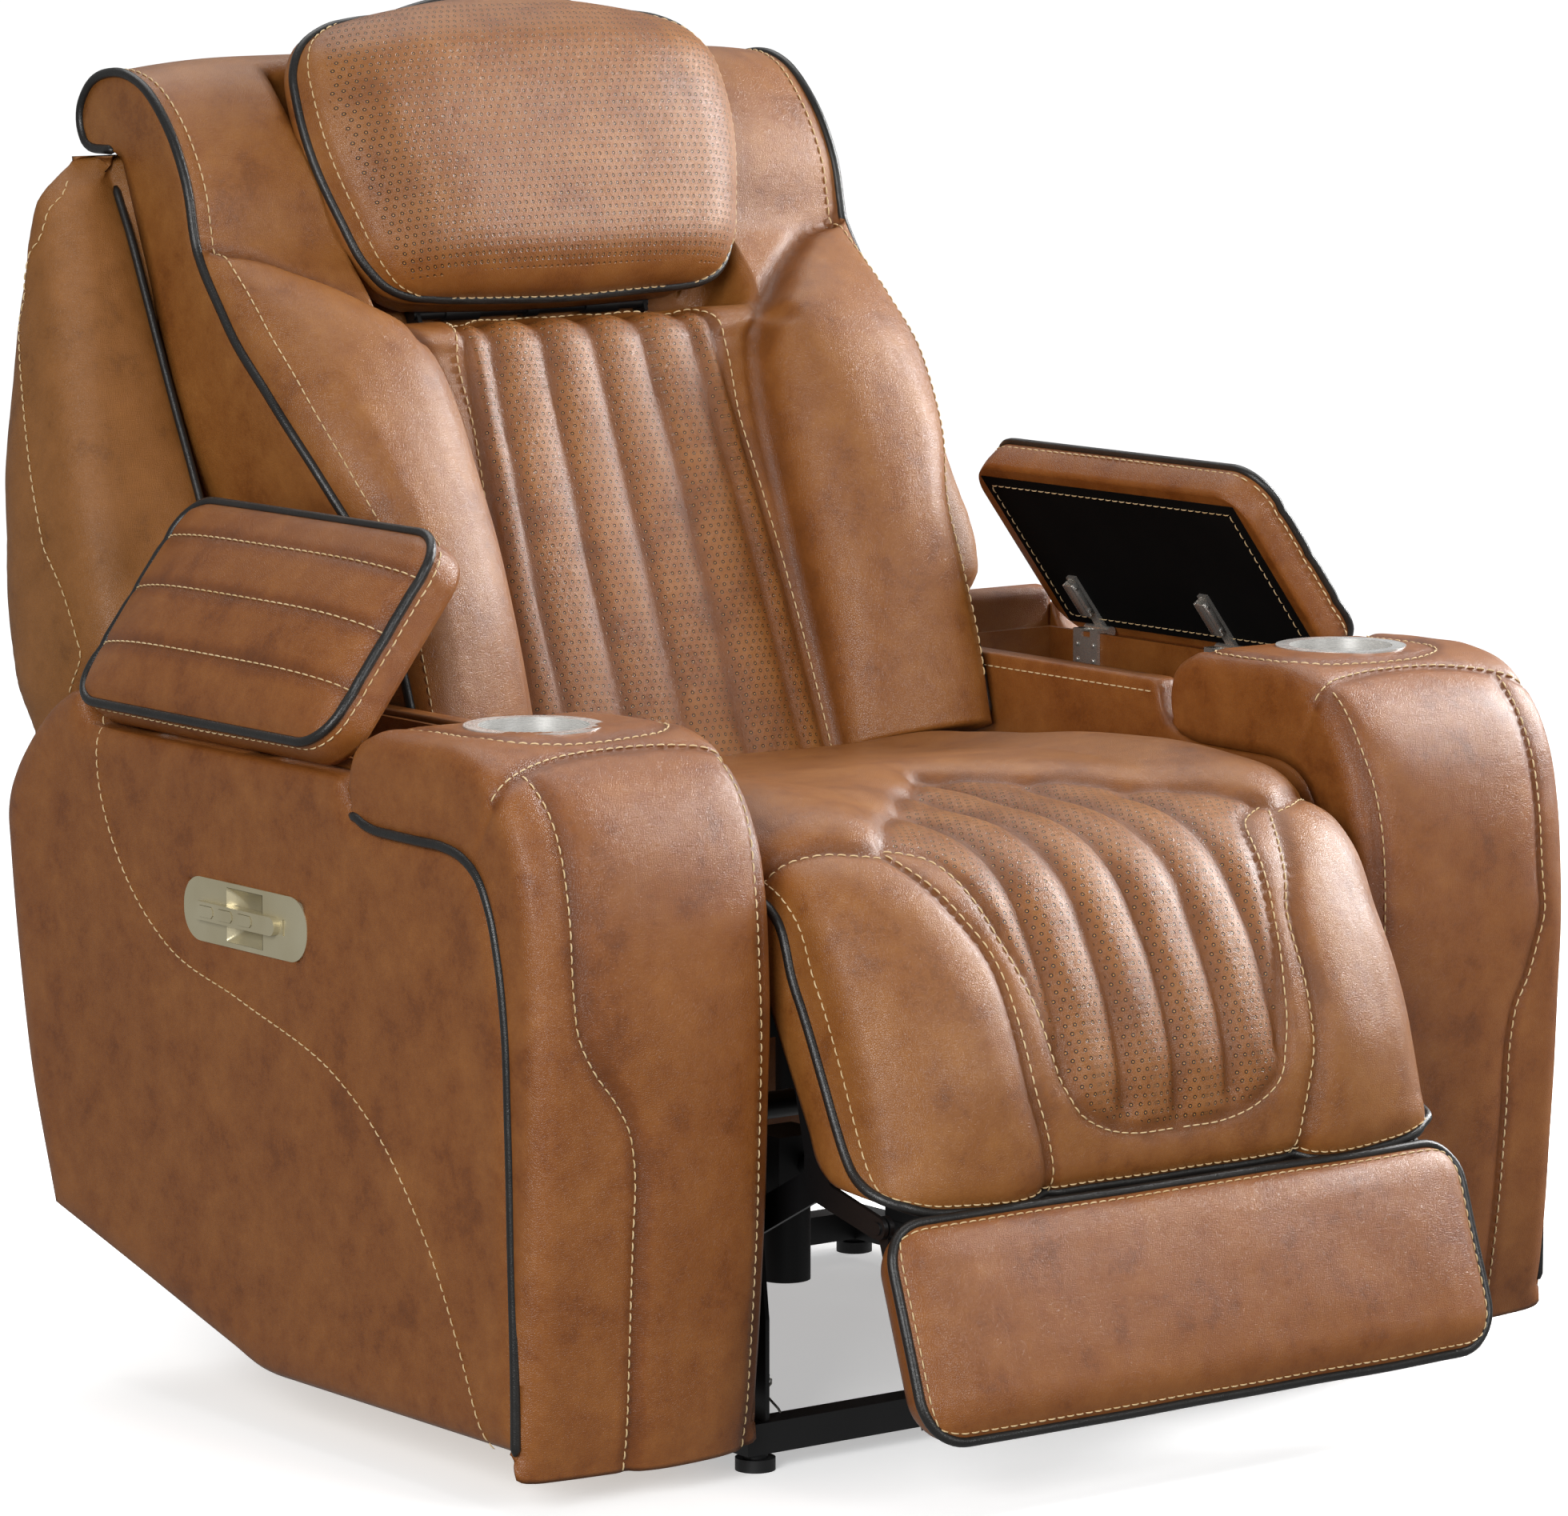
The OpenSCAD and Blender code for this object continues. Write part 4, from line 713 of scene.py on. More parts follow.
crease = curve([0, 150, 270, 332, 378, 415, 434, 454, 478, 498, 506, 520],
               [158, 158, 159, 163, 172, 191, 212, 232, 264, 298, 330, 341.5], backRows)
bolster = curve([0, 0.06, 0.16, 0.3, 0.45, 0.62, 0.78, 0.9, 0.97, 1],
                [0, 0.45, 0.78, 0.95, 1, 0.97, 0.84, 0.58, 0.28, 0],
                np.clip((size - crease) / (back["half"] - crease), 0, 1))
overTop = ramp(v, backKnots[5] + 30, backKnots[9])
panelLevel = (-2.0 - 8 * ramp(size, 120, panelHalf)) * (1 - overTop) + edge * overTop
n = panelLevel * (1 - share) + edge * share + back["bolster"] * riseAt[None] * bolster
halfAt = curve([120, 190, 255, 330, 400], [298, 302, 322, 338, 342], t)
bolsterX = panelHalf + (size - panelHalf) / bolsterWide * (halfAt - panelHalf)
x = np.sign(u) * np.where(size > panelHalf, bolsterX, size)
# The middle turns in under the headrest and makes the recess that it lies in
pocketRows = [380, 395, 411, 424, 440, 462, 484, 660, 680]
pocketT = curve(pocketRows, [366, 379, 393, 402, 408, 413, 416, 630, 650], backRows)
pocketN = curve(pocketRows, [-2, -4, -11, -24, -45, -70, -96, -96, -90], backRows)
recess = curve([380, 425, 432, 445, 500, 558, 610, 665, 690],
               [196, 190, 176, 188, 206, 218, 220, 210, 190], pocketT)
pocket = ramp(np.abs(x), recess + 10, recess - 8) * ramp(v, 382, 402) * ramp(v, 692, 668)
t = t * (1 - pocket) + pocketT * pocket
n = n * (1 - pocket) + pocketN * pocket
rearN = np.where((share < 0.9) & (v < backKnots[11]), -110.0, rearAt[None, :, 1])
rearT = np.repeat(rearAt[None, :, 0], len(backColumns), 0)
backPad = Pad("pad_back", backColumns, backRows, joined(x, onBack(t, n)),
              joined(x, onBack(rearT, rearN)), 1.0, 6)
backPad.swell(slack(backPad.top, 120) * 0.6 * (1 - pocket))
backPad.swell(back["shoulder"] * ramp(v, 490, 560) * ramp(backLong - v, 0, 60)
              * (1 - (size / back["half"])**5) * (1 - pocket))
# The quilted panel narrows upwards
panelTop = back["panelTop"]
taperRows = [0, 150, 300, panelTop - 14]
taper = [panelHalf, 147, 137, 128]
quilt = [[[x * w / panelHalf, r] for w, r in zip(taper + taper[-1:], taperRows + [panelTop])]
         for x in (-120, -60, 0, 60, 120)]
frameSide = [[w, r] for w, r in zip(taper, taperRows)] + [[123, panelTop - 4]]
frameLine = [[-w, r] for w, r in frameSide] + [[-112, panelTop], [112, panelTop]] + frameSide[::-1]
backPad.dent(quilt, *back["quilt"])
backPad.dent([frameLine], *back["seams"])
backPad.dent(mirrored(smoothPath(np.stack([crease, backRows], axis=1)[backRows < 508], 8)),
             *back["seams"])
backPad.punch(np.mod(u, back["column"]), v,
              (size < curve(taperRows, taper, backRows)) & (v < panelTop)
              & (backPad.away([frameLine]) > 6) & (backPad.away(quilt) > 4))
backPad.build("backrest", ("back_cushion",))
sewOn(backPad, "back", [[p[0] * 1.03, p[1] + (4 if p[1] > 350 else 0)] for p in frameLine])
for side, column in ((-1, 0), (1, -1)):
    sewOn(backPad, "back", [[side * 330, 40], [side * 329, 300], [side * 326, 520],
                            [side * 328, 640], [side * 333, backLong - 70]])
    edgeX = side * back["half"]
    points = backPad.on(np.linspace([edgeX, 10], [edgeX, backLong], 170))[0]
    tube("back", smoothPath(np.concatenate([points[::3], backPad.under[column][-1:]]), 5))
rideSeams("back", "backrest")
print("back made")

# Headrest pad: height up the back, share of the width, and share of the crown
head = {"half": 222, "crown": 60, "front": -38, "rear": -54, "welt": 4.4}
headOutline = np.array([
    [423, 0.6, 0], [426, 0.7, 0.3], [435, 0.79, 0.55], [452, 0.85, 0.78], [500, 0.925, 0.95],
    [558, 0.99, 1], [610, 1, 0.97], [650, 0.98, 0.8], [674, 0.92, 0.5], [689, 0.81, 0.25],
    [696, 0.66, 0.1], [699, 0.5, 0]])
headKnots = lengths(headOutline[:, :2] * [1, head["half"]])
headLong = headKnots[-1]
headRows = rowsOf(0, headLong)
headColumns = rowsOf(-head["half"], head["half"])
headAt = curve(headKnots, headOutline, headRows, even=False)
u, v = spread(headColumns, headRows)
share = curve([0, 0.3, 0.6, 0.8, 0.92, 0.98, 1], [1, 0.99, 0.93, 0.78, 0.52, 0.25, 0],
              np.abs(u) / head["half"])
t = np.repeat(headAt[None, :, 0], len(headColumns), 0)
bow = (u / head["half"])**2
t = t - 18 * bow * ramp(t, 560, 698) + 5 * bow * ramp(t, 500, 425)
x = u * headAt[None, :, 1]
swell = np.clip(headAt[None, :, 2], 0, 1.02)
inner = np.minimum(np.minimum(head["half"] - np.abs(u), v), headLong - v)
headPad = Pad("pad_headrest", headColumns, headRows,
              joined(x, onBack(t, head["front"] + head["crown"] * swell * share)),
              joined(x, onBack(t, head["rear"] - 24 * ramp(inner, 3, 18))), 3.0, 5)
headPad.swell(slack(headPad.top, 110) * 0.5)
headPad.punch(u, t, (np.abs(x) < head["half"] * headAt[None, :, 1] - 16) & (t > 440) & (t < 686))
headPad.build("headrest", ("headrest_cushion",))
sewOn(headPad, "headrest", [
    [-216, 6], [-216, headLong - 6], [216, headLong - 6], [216, 6], [-216, 6]], smooth=False)
pipeRound(headPad, "headrest", 4, head["welt"])
rideSeams("headrest", "headrest")
print("headrest made")

# Outer back: a closed shell from rings at each height, given as height, rear, how far it stands
# out, wing, and ear
shellWide = 458
shellRows = np.array([
    [440, 343, -17, 155, 302], [480, 360, -2, 177, 292], [520, 374, 10, 194, 264],
    [560, 386, 18, 211.5, 234], [600, 395, 18, 228, 204], [640, 402, 16, 243, 212],
    [675, 408, 12, 256.8, 228.6], [720, 416, 8, 274.5, 250], [800, 428, -8, 303, 290],
    [880, 438, -26, 331.5, 328], [930, 436, -38, 351, 352], [965, 424, -54, 365, 372],
    [985, 412, -78, 378, 382]], float)
rings = []
earEdge = []
for z, rear, out, wing, ear in curve(shellRows[:, 0], shellRows, rowsOf(440, 985, 6)):
    w = shellWide + out
    up = float(ramp(z, 585, 600))
    half = float(np.interp(z, [600, 640, 675], [303, 320, 342]))
    board = 158.9 + 0.41 * (z - 490)
    board = board + (wing - board) * float(ramp(z, 965, 985))
    step = 277 * (1 - up) + (half - 26) * up
    side = 296 * (1 - up) + (half + 3) * up
    deep = rear - ear
    earEdge.append([side + 3, ear + 2, z])
    path = np.array([[0, board], [step, board], [step + 12, wing], [side, wing],
                     [side + 1, ear + 6], [(side + w) / 2 - 10, ear + 1], [w - 34, ear],
                     [w - 12, ear + 10], [w, ear + 0.5 * deep],
                     [w - 8, rear - min(36, 0.36 * deep)], [w - 30, rear - min(14, 0.15 * deep)],
                     [w - 70, rear - 4], [w - 120, rear - 2], [240, rear - 1], [150, rear],
                     [0, rear]])
    s = lengths(path)
    keep = np.concatenate([np.linspace(0, s[4], 24)[:-1], np.linspace(s[4], s[-1], 74)])
    halfRing = curve(s, path, keep)
    full = np.concatenate([halfRing, halfRing[-2:0:-1] * [-1, 1]])
    rings.append(np.concatenate([full, np.full((len(full), 1), z)], axis=1))
# The top edge is rounded over by three narrower rings
last = rings[-1]
along = np.roll(last, -1, axis=0) - np.roll(last, 1, axis=0)
inward = unit(np.stack([-along[:, 1], along[:, 0], along[:, 2] * 0], axis=1))
for inset, rise in ((2.0, 3.0), (5.5, 5.5), (9.5, 7.0)):
    rings.append(last + inward * inset + [0, 0, rise])
rings = np.array(rings)
index = numbered(rings)
count = rings.shape[1]
faces = gridFaces(np.concatenate([index, index[:, :1]], axis=1))
for row in (index[0], index[-1]):
    for i in range(count // 2):
        a, b, c, d = row[i], row[i + 1], row[(count - i - 1) % count], row[(count - i) % count]
        faces.append((a, b, c) if i == 0 else (a, b, d) if b == c else (a, b, c, d))
# The shell takes the lighter copy of the leather, painted light for its shaded sides
shell = newPiece("shell_back", rings.reshape(-1, 3), faces, hideShellPaintedLight)
upholstered(shell, "backrest", ("back_shell",))
for side in (-1, 1):
    line = []
    for z in range(470, 984, 12):
        i = int(np.argmin(np.abs(rings[:, 0, 2] - z)))
        j = int(round(np.interp(z, [584, 850, 900, 930, 973], [151, 151, 154, 157, 162])))
        line.append(rings[i, j if side < 0 else count - j])
    line = smoothPath(line)
    out = unit((line - [side * 330.0, 330, 0]) * [1, 1, 0])
    sew("shell", line + out * 0.4, out)
    tube("shell", smoothPath(np.array(earEdge[28:-2:3]) * [side, 1, 1], 5), 3.6)
rideSeams("shell", "backrest")
print("outer back made")

# Arms: outlines in Y and Z
arm = {"inner": 302, "outer": 530, "middle": 416, "front": 7, "panel": 5, "seams": (3.5, 12),
       "cupY": -334, "cupRadius": 50, "crown": 8, "plate": (-98, 416), "plateFace": -511.5}
wrapLine = [
    [-246, 526], [-241, 545], [-246, 570], [-266, 582], [-300, 586], [-340, 587], [-385, 586],
    [-425, 575], [-457, 548], [-478, 511], [-490, 465], [-496, 400], [-495, 300], [-489, 200],
    [-480, 100], [-474, 50], [-469, 27]]
wrapUnder = [
    [-254, 519], [-259, 515], [-266, 512], [-280, 509], [-305, 508], [-340, 507.5], [-375, 507],
    [-400, 502], [-420, 490], [-436, 465], [-447, 430], [-455, 385], [-460, 300], [-463, 200],
    [-466, 100], [-466, 50], [-464, 42]]
panelFront = [
    [-465.6, 50], [-465.4, 100], [-462.4, 200], [-459.4, 300], [-454.4, 385], [-446.4, 430],
    [-435, 464.4], [-419.6, 489]]
panelUpper = [
    [-419.6, 489], [-400, 501.2], [-375, 506.4], [-305, 507.2], [-280, 508.2], [-266, 511],
    [-246, 519], [-236, 530], [-228, 543], [-216, 545], [-60, 545], [60, 545], [136, 546],
    [146, 556], [152, 571]]
panelRear = [
    [205, 136], [241, 249], [257, 334], [270, 434], [272, 455], [268, 476], [256, 498], [236, 522],
    [210, 546], [185, 562], [160, 571], [152, 571]]
panelLower = [
    [-465.6, 50], [-300, 50], [-135, 50], [-105, 52], [-60, 64], [60, 97], [205, 136]]
rearOuter = [
    [152, 340], [152, 470], [152, 580], [156, 586], [168, 588], [184, 580], [210, 549], [233, 520],
    [252, 497], [264, 476], [268, 455], [266, 434], [253, 334], [237, 249], [202, 137]]
rearInner = [
    [200, 340], [200, 420], [200, 480], [200, 500], [202, 510], [204, 510], [206, 500], [208, 490],
    [210, 480], [215, 470], [220, 455], [222, 434], [222, 340], [212, 249], [173, 137]]
armKnots = lengths(wrapLine)
armLong = armKnots[-1]
armRows = rowsOf(0, armLong)
armColumns = rowsOf(arm["inner"], arm["outer"])
wrapAt = curve(armKnots, wrapLine, armRows, even=False)
wrapUnderAt = curve(armKnots, wrapUnder, armRows, even=False)


# Fills four outlines that meet at their ends with a grid
def filled(lower, upper, left, right, counts):
    a, b = [np.linspace(0, 1, count) for count in counts]
    low, high, near, far = [curve(lengths(path) / lengths(path)[-1], path, at)
                            for path, at in ((lower, a), (upper, a), (left, b), (right, b))]
    u = a[:, None, None]
    v = b[None, :, None]
    corners = ((1 - u) * (1 - v) * low[0] + u * (1 - v) * low[-1] + (1 - u) * v * high[0]
               + u * v * high[-1])
    return (1 - v) * low[:, None] + v * high[:, None] + (1 - u) * near[None] + u * far[None] - corners


sideGrid = (176, 128)
sideAt = [np.arange(count) for count in sideGrid]
sideFace = filled(panelLower, panelUpper, panelFront, panelRear, sideGrid)
rim = sideFace.reshape(-1, 2)[border(numbered(sideFace))]
sideDepth = distance(sideFace.reshape(-1, 2), [np.concatenate([rim, rim[:1]])]).reshape(sideGrid)
consoleSeam = smoothPath([
    [510, 62], [494, 80], [488, 105], [487, 150], [475, 188], [444, 203], [404, 206], [370, 203],
    [338, 196], [321, 180], [317, 150], [317, 100], [322, 80], [340, 66]], 5)
wrapSeam = smoothPath([
    [530, 256], [519, 252], [486, 239], [447, 229], [406, 226], [360, 228], [330, 234], [303, 243]], 5)
innerSeam = smoothPath([[312, 243], [312, 300], [316, 340], [316, 500], [315, armLong]], 5)
curl = smoothPath([
    [124, 555], [118, 495], [77, 425], [18, 380], [-88, 349], [-225, 308], [-291, 264], [-345, 203],
    [-393, 118], [-428, 46]])


# A quarter-round fall to the edge, of the given height
def crowned(height, reach):
    return height * np.sqrt(np.clip(1 - (1 - np.clip(sideDepth / reach, 0, 1))**2, 0, 1))


def armPads(side, word):
    group = "arm_" + word
    shift = 0 if side < 0 else 22  # the outer seam lies further out on the right arm
    outerSeam = smoothPath([
        [496, 243], [493, 270], [493, 350], [493, 426], [490 + shift / 4, 452],
        [476 + shift / 2, 481], [456 + shift, 507], [443 + shift, 531], [438 + shift, 556],
        [437 + shift, 618], [435 + shift, 713], [432 + shift, armLong]], 5)
    wide = curve([0, 4, 12, 26, 60], [15, 7, 2, 0, 0],
                 np.minimum(armColumns - arm["inner"], arm["outer"] - armColumns))
    ends = np.interp(armRows, [0, 10, armLong - 20, armLong], [0.3, 1, 1, 0.3])
    face = wrapAt[None] + unit(wrapUnderAt - wrapAt)[None] * (wide[:, None] * ends[None])[..., None]
    spot, along = spread(armColumns, armRows)
    low = np.repeat(wrapUnderAt[None], len(armColumns), 0)
    wrap = Pad("arm_wrap_" + word, armColumns, armRows, joined(spot * side, face),
               joined(spot * side, low), 0.6, 6)
    wrap.swell(arm["front"] * ramp(along, 228, 300) * (1 - ((spot - arm["middle"]) / 114)**2))
    panel = (spot > 316) & (spot < curve(outerSeam[:, 1], outerSeam[:, 0], along)) & (along > 236)
    wrap.swell(puff(wrap.away([wrapSeam, innerSeam, outerSeam]), panel, arm["panel"]))
    wrap.swell(slack(wrap.top, 130) * 0.5)
    wrap.dent([consoleSeam, wrapSeam, innerSeam, outerSeam], *arm["seams"])
    fromCup = np.linalg.norm(wrap.top[..., :2] - [arm["middle"] * side, arm["cupY"]], axis=2)
    wrap.holes = (fromCup < arm["cupRadius"]) & (wrap.top[..., 2] > 540)
    wrap.build("base", ("arm_front_" + word,))
    for line, step in ((consoleSeam, [0, 4]), (wrapSeam, [0, -4]), (innerSeam, [4, 0]),
                       (outerSeam, [4, 0])):
        sewOn(wrap, group, line + step)
    line = joined(529.5, np.concatenate([[[-248, 517]], wrapUnder[1:-1]]))
    tube(group, smoothPath(line * [side, 1, 1], 5))

    outer = Pad("arm_panel_outer_" + word, *sideAt,
                joined(side * (522 + crowned(arm["crown"], 24)), sideFace),
                joined(side * 500.0, sideFace), 0, 3)
    outer.swell(slack(outer.top, 160) * 0.5 * np.clip(sideDepth / 40, 0, 1))
    if side < 0:  # the leather is drawn in behind the control plate
        off = np.abs(sideFace - arm["plate"])
        behind = (off[..., 0] < 80) & (off[..., 1] < 21)
        outer.top[..., 0] = np.where(behind, arm["plateFace"], outer.top[..., 0])
    outer.build("base", ("arm_outer_" + word,))
    near = np.argmin(np.linalg.norm(sideFace.reshape(-1, 1, 2) - curl[None], axis=2), axis=0)
    points = joined(outer.top.reshape(-1, 3)[near][:, 0], curl)
    sew(group, points, np.repeat([[side * 1.0, 0, 0]], len(points), 0))

    face = sideFace.copy()
    face[..., 1] += ramp(face[..., 1], 535, 545) * 11 * (face[..., 0] < 140) * (face[..., 0] > -230)
    inner = Pad("arm_panel_inner_" + word, *sideAt, joined(side * (305 - crowned(3, 10)), face),
                joined(side * 324.0, face), 0, 3)
    inner.build("base", ("arm_inner_" + word,))
    line = np.linspace([side * 302.2, -222, 545.0], [side * 302.2, 138, 545.0], 90)
    sew(group, line, np.repeat([[-side * 1.0, 0, 0]], 90, 0))

    knots = lengths(rearOuter)
    at = rowsOf(0, knots[-1], 6)
    columns = rowsOf(324.3, 499.7, 6)
    outerLine = curve(knots, rearOuter, at)
    innerLine = curve(knots, rearInner, at)
    fall = 5 * (1 - np.clip(np.minimum(columns - 324.3, 499.7 - columns) / 8, 0, 1))**2
    face = outerLine[None] + unit(innerLine - outerLine)[None] * fall[:, None, None]
    low = np.repeat(innerLine[None], len(columns), 0)
    end = Pad("arm_end_" + word, columns, at, joined(columns[:, None] * side, face),
              joined(columns[:, None] * side, low), 0, 3)
    end.build("base", ("arm_rear_" + word,))
    rideSeams(group, "base")


# Lids: made shut, then turned up about their outer edge
lid = {"x": (316.0, 512.0), "y": (-222.0, 144.0), "z": (559.0, 595.0), "corner": 34, "crown": 21,
       "seams": (356, 408, 461), "seam": (1.8, 9), "welt": 4.0, "pivot": (500, 553)}
opened = math.radians(52.8)


def openLid(points, side):
    out = np.array(points, float)
    pivotX, pivotZ = lid["pivot"]
    x = out[..., 0] - pivotX
    z = out[..., 2] - pivotZ
    out[..., 0] = (pivotX + x * math.cos(opened) + z * math.sin(opened)) * side
    out[..., 2] = pivotZ - x * math.sin(opened) + z * math.cos(opened)
    return out


def lidPads(side, word):
    group = "lid_" + word
    x0, x1 = lid["x"]
    y0, y1 = lid["y"]
    columns = rowsOf(x0, x1, 3.5)
    rows = rowsOf(y0, y1)
    u, v = spread(columns, rows)
    x, y = rounded(u, v, (x0, x1, y0, y1), [lid["corner"]] * 4)
    edge = np.minimum(np.minimum(u - x0, x1 - u), np.minimum(v - y0, y1 - v))
    crown = (1 - (np.abs(u - 414) / 98)**2.2) * (1 - (np.abs(v + 39) / 183)**4)
    z = lid["z"][1] - 1 + lid["crown"] * crown + 4 * ramp(edge, 0, 14)
    low = np.full_like(z, lid["z"][0] + 1)
    pad = Pad("lid_pad_top_" + word, columns, rows, openLid(np.stack([x, y, z], axis=2), side),
              openLid(np.stack([x, y, low], axis=2), side), 2.5, 7)
    quilt = [[[x, y0 + 1], [x, y1 - 1]] for x in lid["seams"]]
    pad.dent(quilt, *lid["seam"])
    pad.build(group, ("lid_pad_" + word,))
    for line in quilt:
        sewOn(pad, group, line)
    loop = pad.rim(pad.top)
    centre = loop.mean(axis=0)
    ring = loop + unit(pad.rim(pad.under) - loop) * 8 + unit(loop - centre) * 2.4
    ring = smoothPath(ring[::3], 5, closed=True)
    sew(group, ring, unit(ring - centre))
    ring = straight([
        [337, -201, 558.4], [337, 123, 558.4], [491, 123, 558.4], [491, -201, 558.4],
        [337, -201, 558.4]])
    down = openLid([[500, 0, 552]], side) - openLid([[500, 0, 553]], side)
    sew(group, openLid(ring, side), np.repeat(unit(down), len(ring), 0), thick=0.5)
    pipeRound(pad, group, 3, lid["welt"])
    rideSeams(group, group)


for make, stage in ((armPads, "arms made"), (lidPads, "lids made")):
    make(-1, "left")
    make(1, "right")
    print(stage)

# Concave scoop behind the control plate's bar
dish = {"centre": (-98, 416), "half": (25.8, 21.8), "face": -531.2, "depth": 11}
u, v = spread(np.linspace(-1, 1, 41), np.linspace(-1, 1, 33))
bowl = 1 - np.maximum(np.abs(u)**3, np.abs(v)**3)
surface = joined(dish["face"] + dish["depth"] * bowl,
                 np.stack([u, v], axis=2) * dish["half"] + dish["centre"])
scoop = newPiece("control_scoop", surface.reshape(-1, 3), gridFaces(numbered(u)),
                 slotFinish["plate_champagne"])
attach(scoop, "base")


# A rivet: a short turned rod with a crowned end
def rod(a, b, radius, count=14):
    a = np.asarray(a, float)
    b = np.asarray(b, float)
    way = unit(b - a)
    side = unit(np.cross(way, [0.3, 0.5, 0.8]))
    turns = np.arange(count)[:, None] * 2 * math.pi / count
    ring = np.cos(turns) * side + np.sin(turns) * np.cross(way, side)
    points = [a]
    for at, size in ((a, 0.8), (a + way * 0.4, 1), (b - way * 0.8, 1), (b, 0.6)):
        points.extend(at + ring * radius * size)
    points.append(b + way * 0.2)
    rows = 1 + np.arange(4 * count).reshape(4, count)
    faces = [face for r in range(3) for face in ringFaces(rows[r], rows[r + 1])]
    for i in range(count):
        j = (i + 1) % count
        faces += [(0, rows[0][j], rows[0][i]), (rows[3][i], rows[3][j], 4 * count + 1)]
    return np.array(points), faces


# A flat strip with its edges broken by half a millimetre
def plank(x0, x1, y0, y1, z0, z1, c=0.5):
    points = []
    for z, e in ((z0, c), (z0 + c, 0), (z1 - c, 0), (z1, c)):
        left, right, near, far = x0 + e, x1 - e, y0 + e, y1 - e
        points += [[left, near + c, z], [left + c, near, z], [right - c, near, z],
                   [right, near + c, z], [right, far - c, z], [right - c, far, z],
                   [left + c, far, z], [left, far - c, z]]
    rows = np.arange(32).reshape(4, 8)
    faces = [tuple(rows[0][::-1]), tuple(rows[3])]
    return np.array(points, float), faces + [face for r in range(3)
                                             for face in ringFaces(rows[r], rows[r + 1])]


def gathered(name, parts, body):
    points = []
    faces = []
    for some, loops in parts:
        start = sum(len(p) for p in points)
        points.append(some)
        faces.extend([tuple(i + start for i in loop) for loop in loops])
    made = newPiece(name, np.concatenate(points), faces, slotFinish["steel_bright"])
    outward(made)
    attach(made, body)


# Folded channels on the lids' hinges, and rivets in their fixed leaves
hinge = {"rows": (-95, 85), "leafX": 486.7, "x": (443, 480), "z": (548.0, 555.0), "axisZ": 553}
moving = []
fixed = []
for y in hinge["rows"]:
    for lip in (-1, 1):
        wall = y + lip * 5.8
        moving.append(plank(*hinge["x"], wall - 0.8, wall + 0.8, *hinge["z"]))
        for x, radius in ((448, 2.2), (474, 2.6)):
            moving.append(rod([x, y + lip * 6.6, 551], [x, y + lip * 7.8, 551], radius))
    moving.append(plank(*hinge["x"], y - 5.6, y + 5.6, 548.0, 549.6))
    for dy in (-11, 11):
        for dz in (-26, -12):
            at = np.array([hinge["leafX"] - 3, y + dy, hinge["axisZ"] + dz])
            fixed.append(rod(at, at - [1.6, 0, 0], 2.4))
for side, word in ((-1, "left"), (1, "right")):
    gathered("hinge_channels_" + word, [(openLid(p, side), f) for p, f in moving], "lid_" + word)
    gathered("hinge_rivets_" + word, [(p * [side, 1, 1], f) for p, f in fixed], "base")
print("hinges made")

# Carried-over nodes take the finish of their slot
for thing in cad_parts.values():
    if thing.hide_render:
        continue
    for place in thing.material_slots:
        word = place.material.name.split(".")[0] if place.material else ""
        place.material = slotFinish.get(word, slotFinish["steel_black"])
        if word == "leather_brown":
            spots = np.empty(len(thing.data.vertices) * 3, np.float32)
            thing.data.vertices.foreach_get("co", spots)
            paint(thing.data, "rest", spots.reshape(-1, 3) * 1000)
            paint(thing.data, "seam", np.full(len(spots) // 3, clearOfSeam))

# Floor, light and camera
studio = {"floorHalf": 60, "floorGlow": 0.45, "world": 0.27, "sun": 1.4, "sunAngle": 0.9,
          "lens": 164.93, "camera": (-3.5917, -4.7156, 1.3315), "target": (0, 0.0132, 0.5007)}
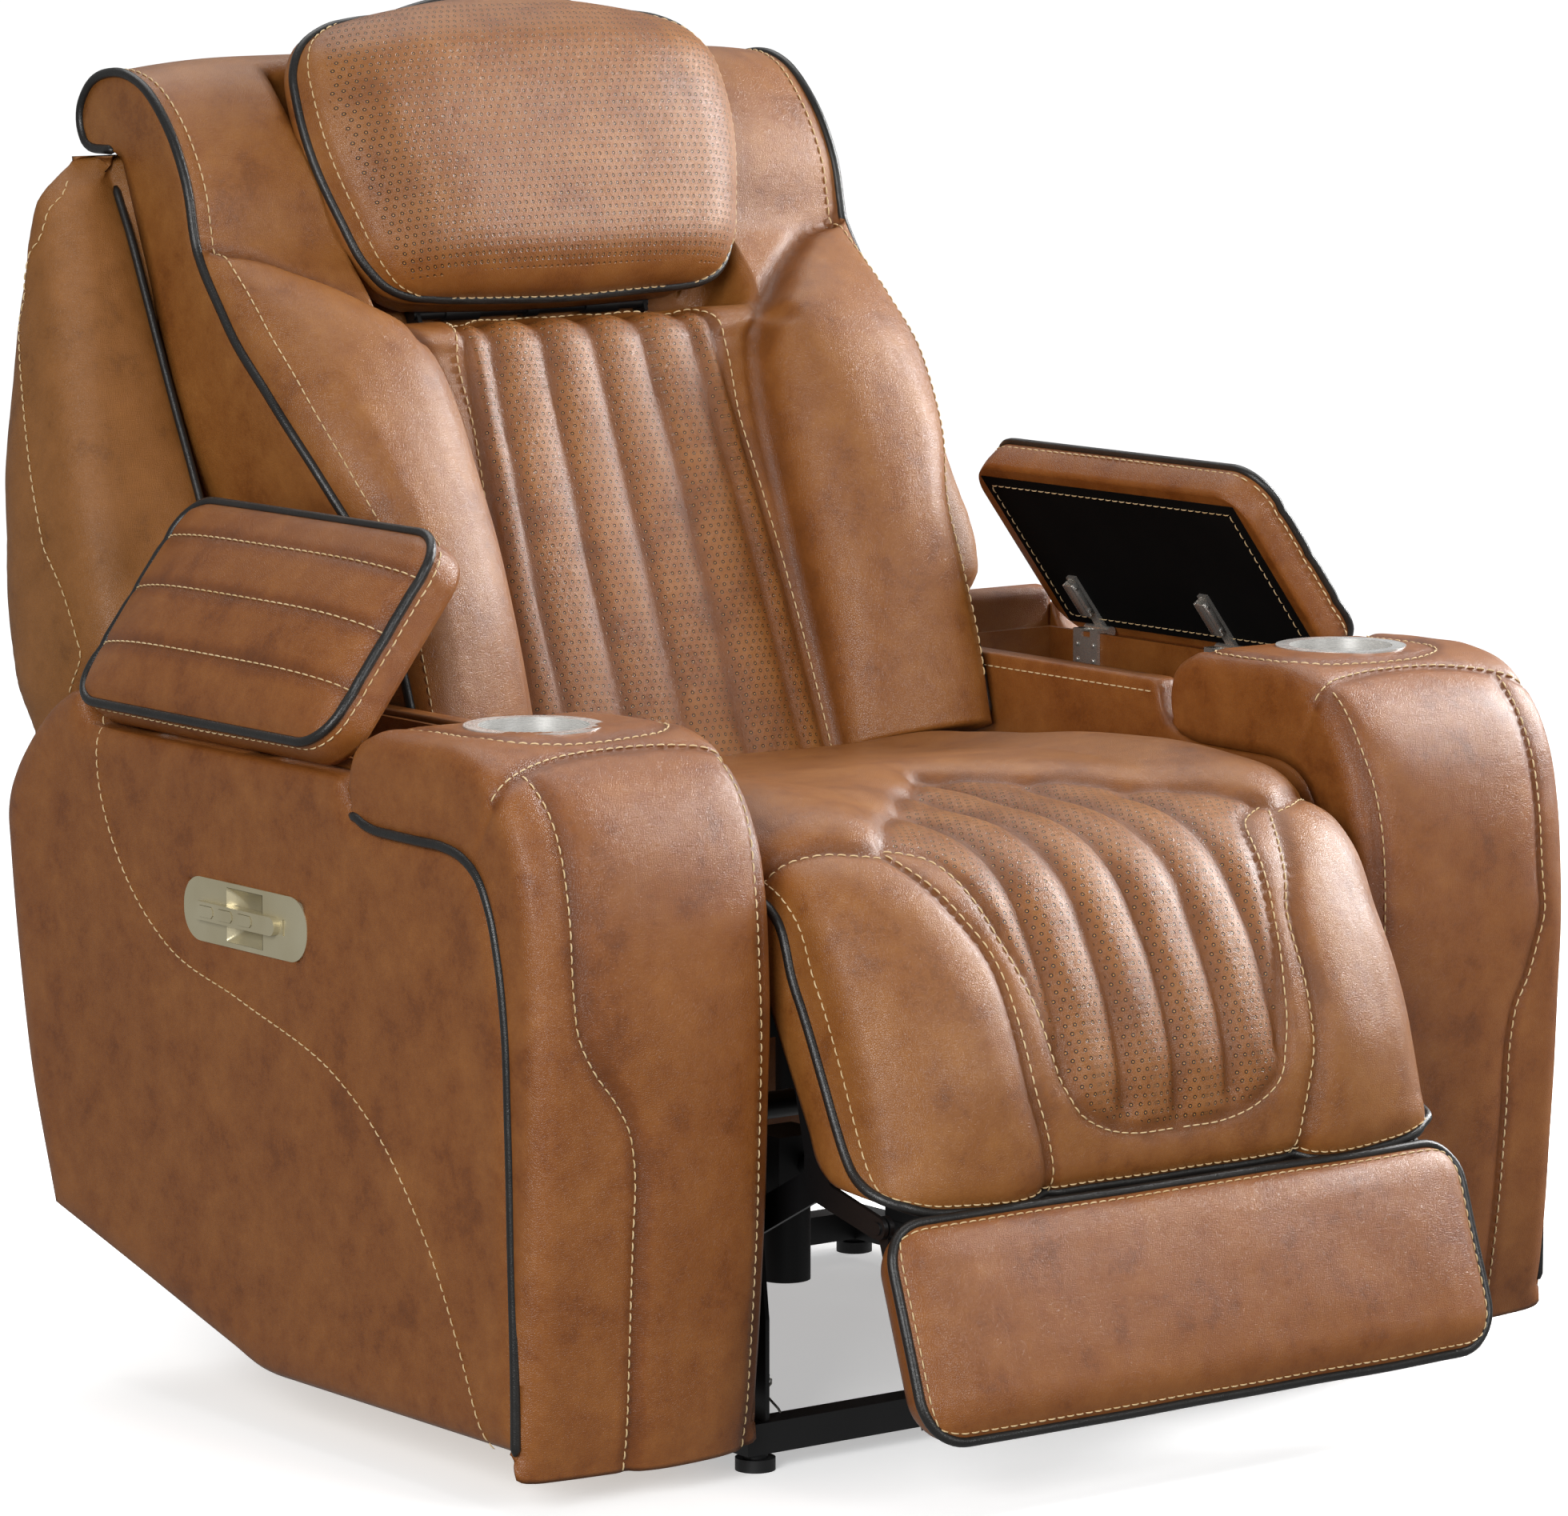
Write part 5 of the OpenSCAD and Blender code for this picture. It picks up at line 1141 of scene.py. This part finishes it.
# Place, target, size and watts of each soft box
softBoxes = {"key": ((3.1, -0.3, 1.9), (0, 0, 0.6), (1.0, 1.8), 175),
             "fill": ((-4.0, -2.6, 2.0), (0, 0, 0.5), (2.2, 2.2), 165),
             "front": ((0.6, -4.4, 1.9), (0, 0, 0.5), (1.6, 1.6), 74)}
far = studio["floorHalf"]
floorMesh = bpy.data.meshes.new("floor")
floorMesh.from_pydata([(-far, -far, 0), (far, -far, 0), (far, far, 0), (-far, far, 0)], [],
                      [(0, 1, 2, 3)])
floor = bpy.data.objects.new("floor", floorMesh)
scene.collection.objects.link(floor)
# Matt white paint that glows a little, so that the floor stays white up to the horizon
wall, shader, node = newMaterial("studio_floor_paint")
node(shader, {"Base Color": colour("#f2f2f2"), "Roughness": 0.9, "Emission Color": (1, 1, 1, 1),
              "Emission Strength": studio["floorGlow"]})
floorMesh.materials.append(wall)
floor.visible_diffuse = False
floor.visible_glossy = False

world = bpy.data.worlds.new("studio")
scene.world = world
world.use_nodes = True
sky = world.node_tree.nodes["Background"].inputs
sky[0].default_value = (1, 1, 1, 1)
sky[1].default_value = studio["world"]


def aimed(name, data, place, way):
    made = bpy.data.objects.new(name, data)
    scene.collection.objects.link(made)
    made.location = place
    made.rotation_mode = "QUATERNION"
    made.rotation_quaternion = Vector(way).to_track_quat("-Z", "Y")
    return made


for name, (place, target, size, power) in softBoxes.items():
    data = bpy.data.lights.new(name, "AREA")
    data.shape = "RECTANGLE"
    data.size, data.size_y = size
    data.energy = power
    aimed(name, data, place, np.array(target) - np.array(place))
sunData = bpy.data.lights.new("sun", "SUN")
sunData.energy = studio["sun"]
sunData.angle = studio["sunAngle"]
aimed("sun", sunData, (0, 0, 0), (-0.3, -0.42, -1.0))

cameraData = bpy.data.cameras.new("camera")
cameraData.sensor_width = 36
cameraData.lens = studio["lens"]
cameraData.clip_end = 200
scene.camera = aimed("camera", cameraData, studio["camera"],
                     np.array(studio["target"]) - np.array(studio["camera"]))
scene.view_settings.view_transform = "Standard"
scene.view_settings.look = "None"
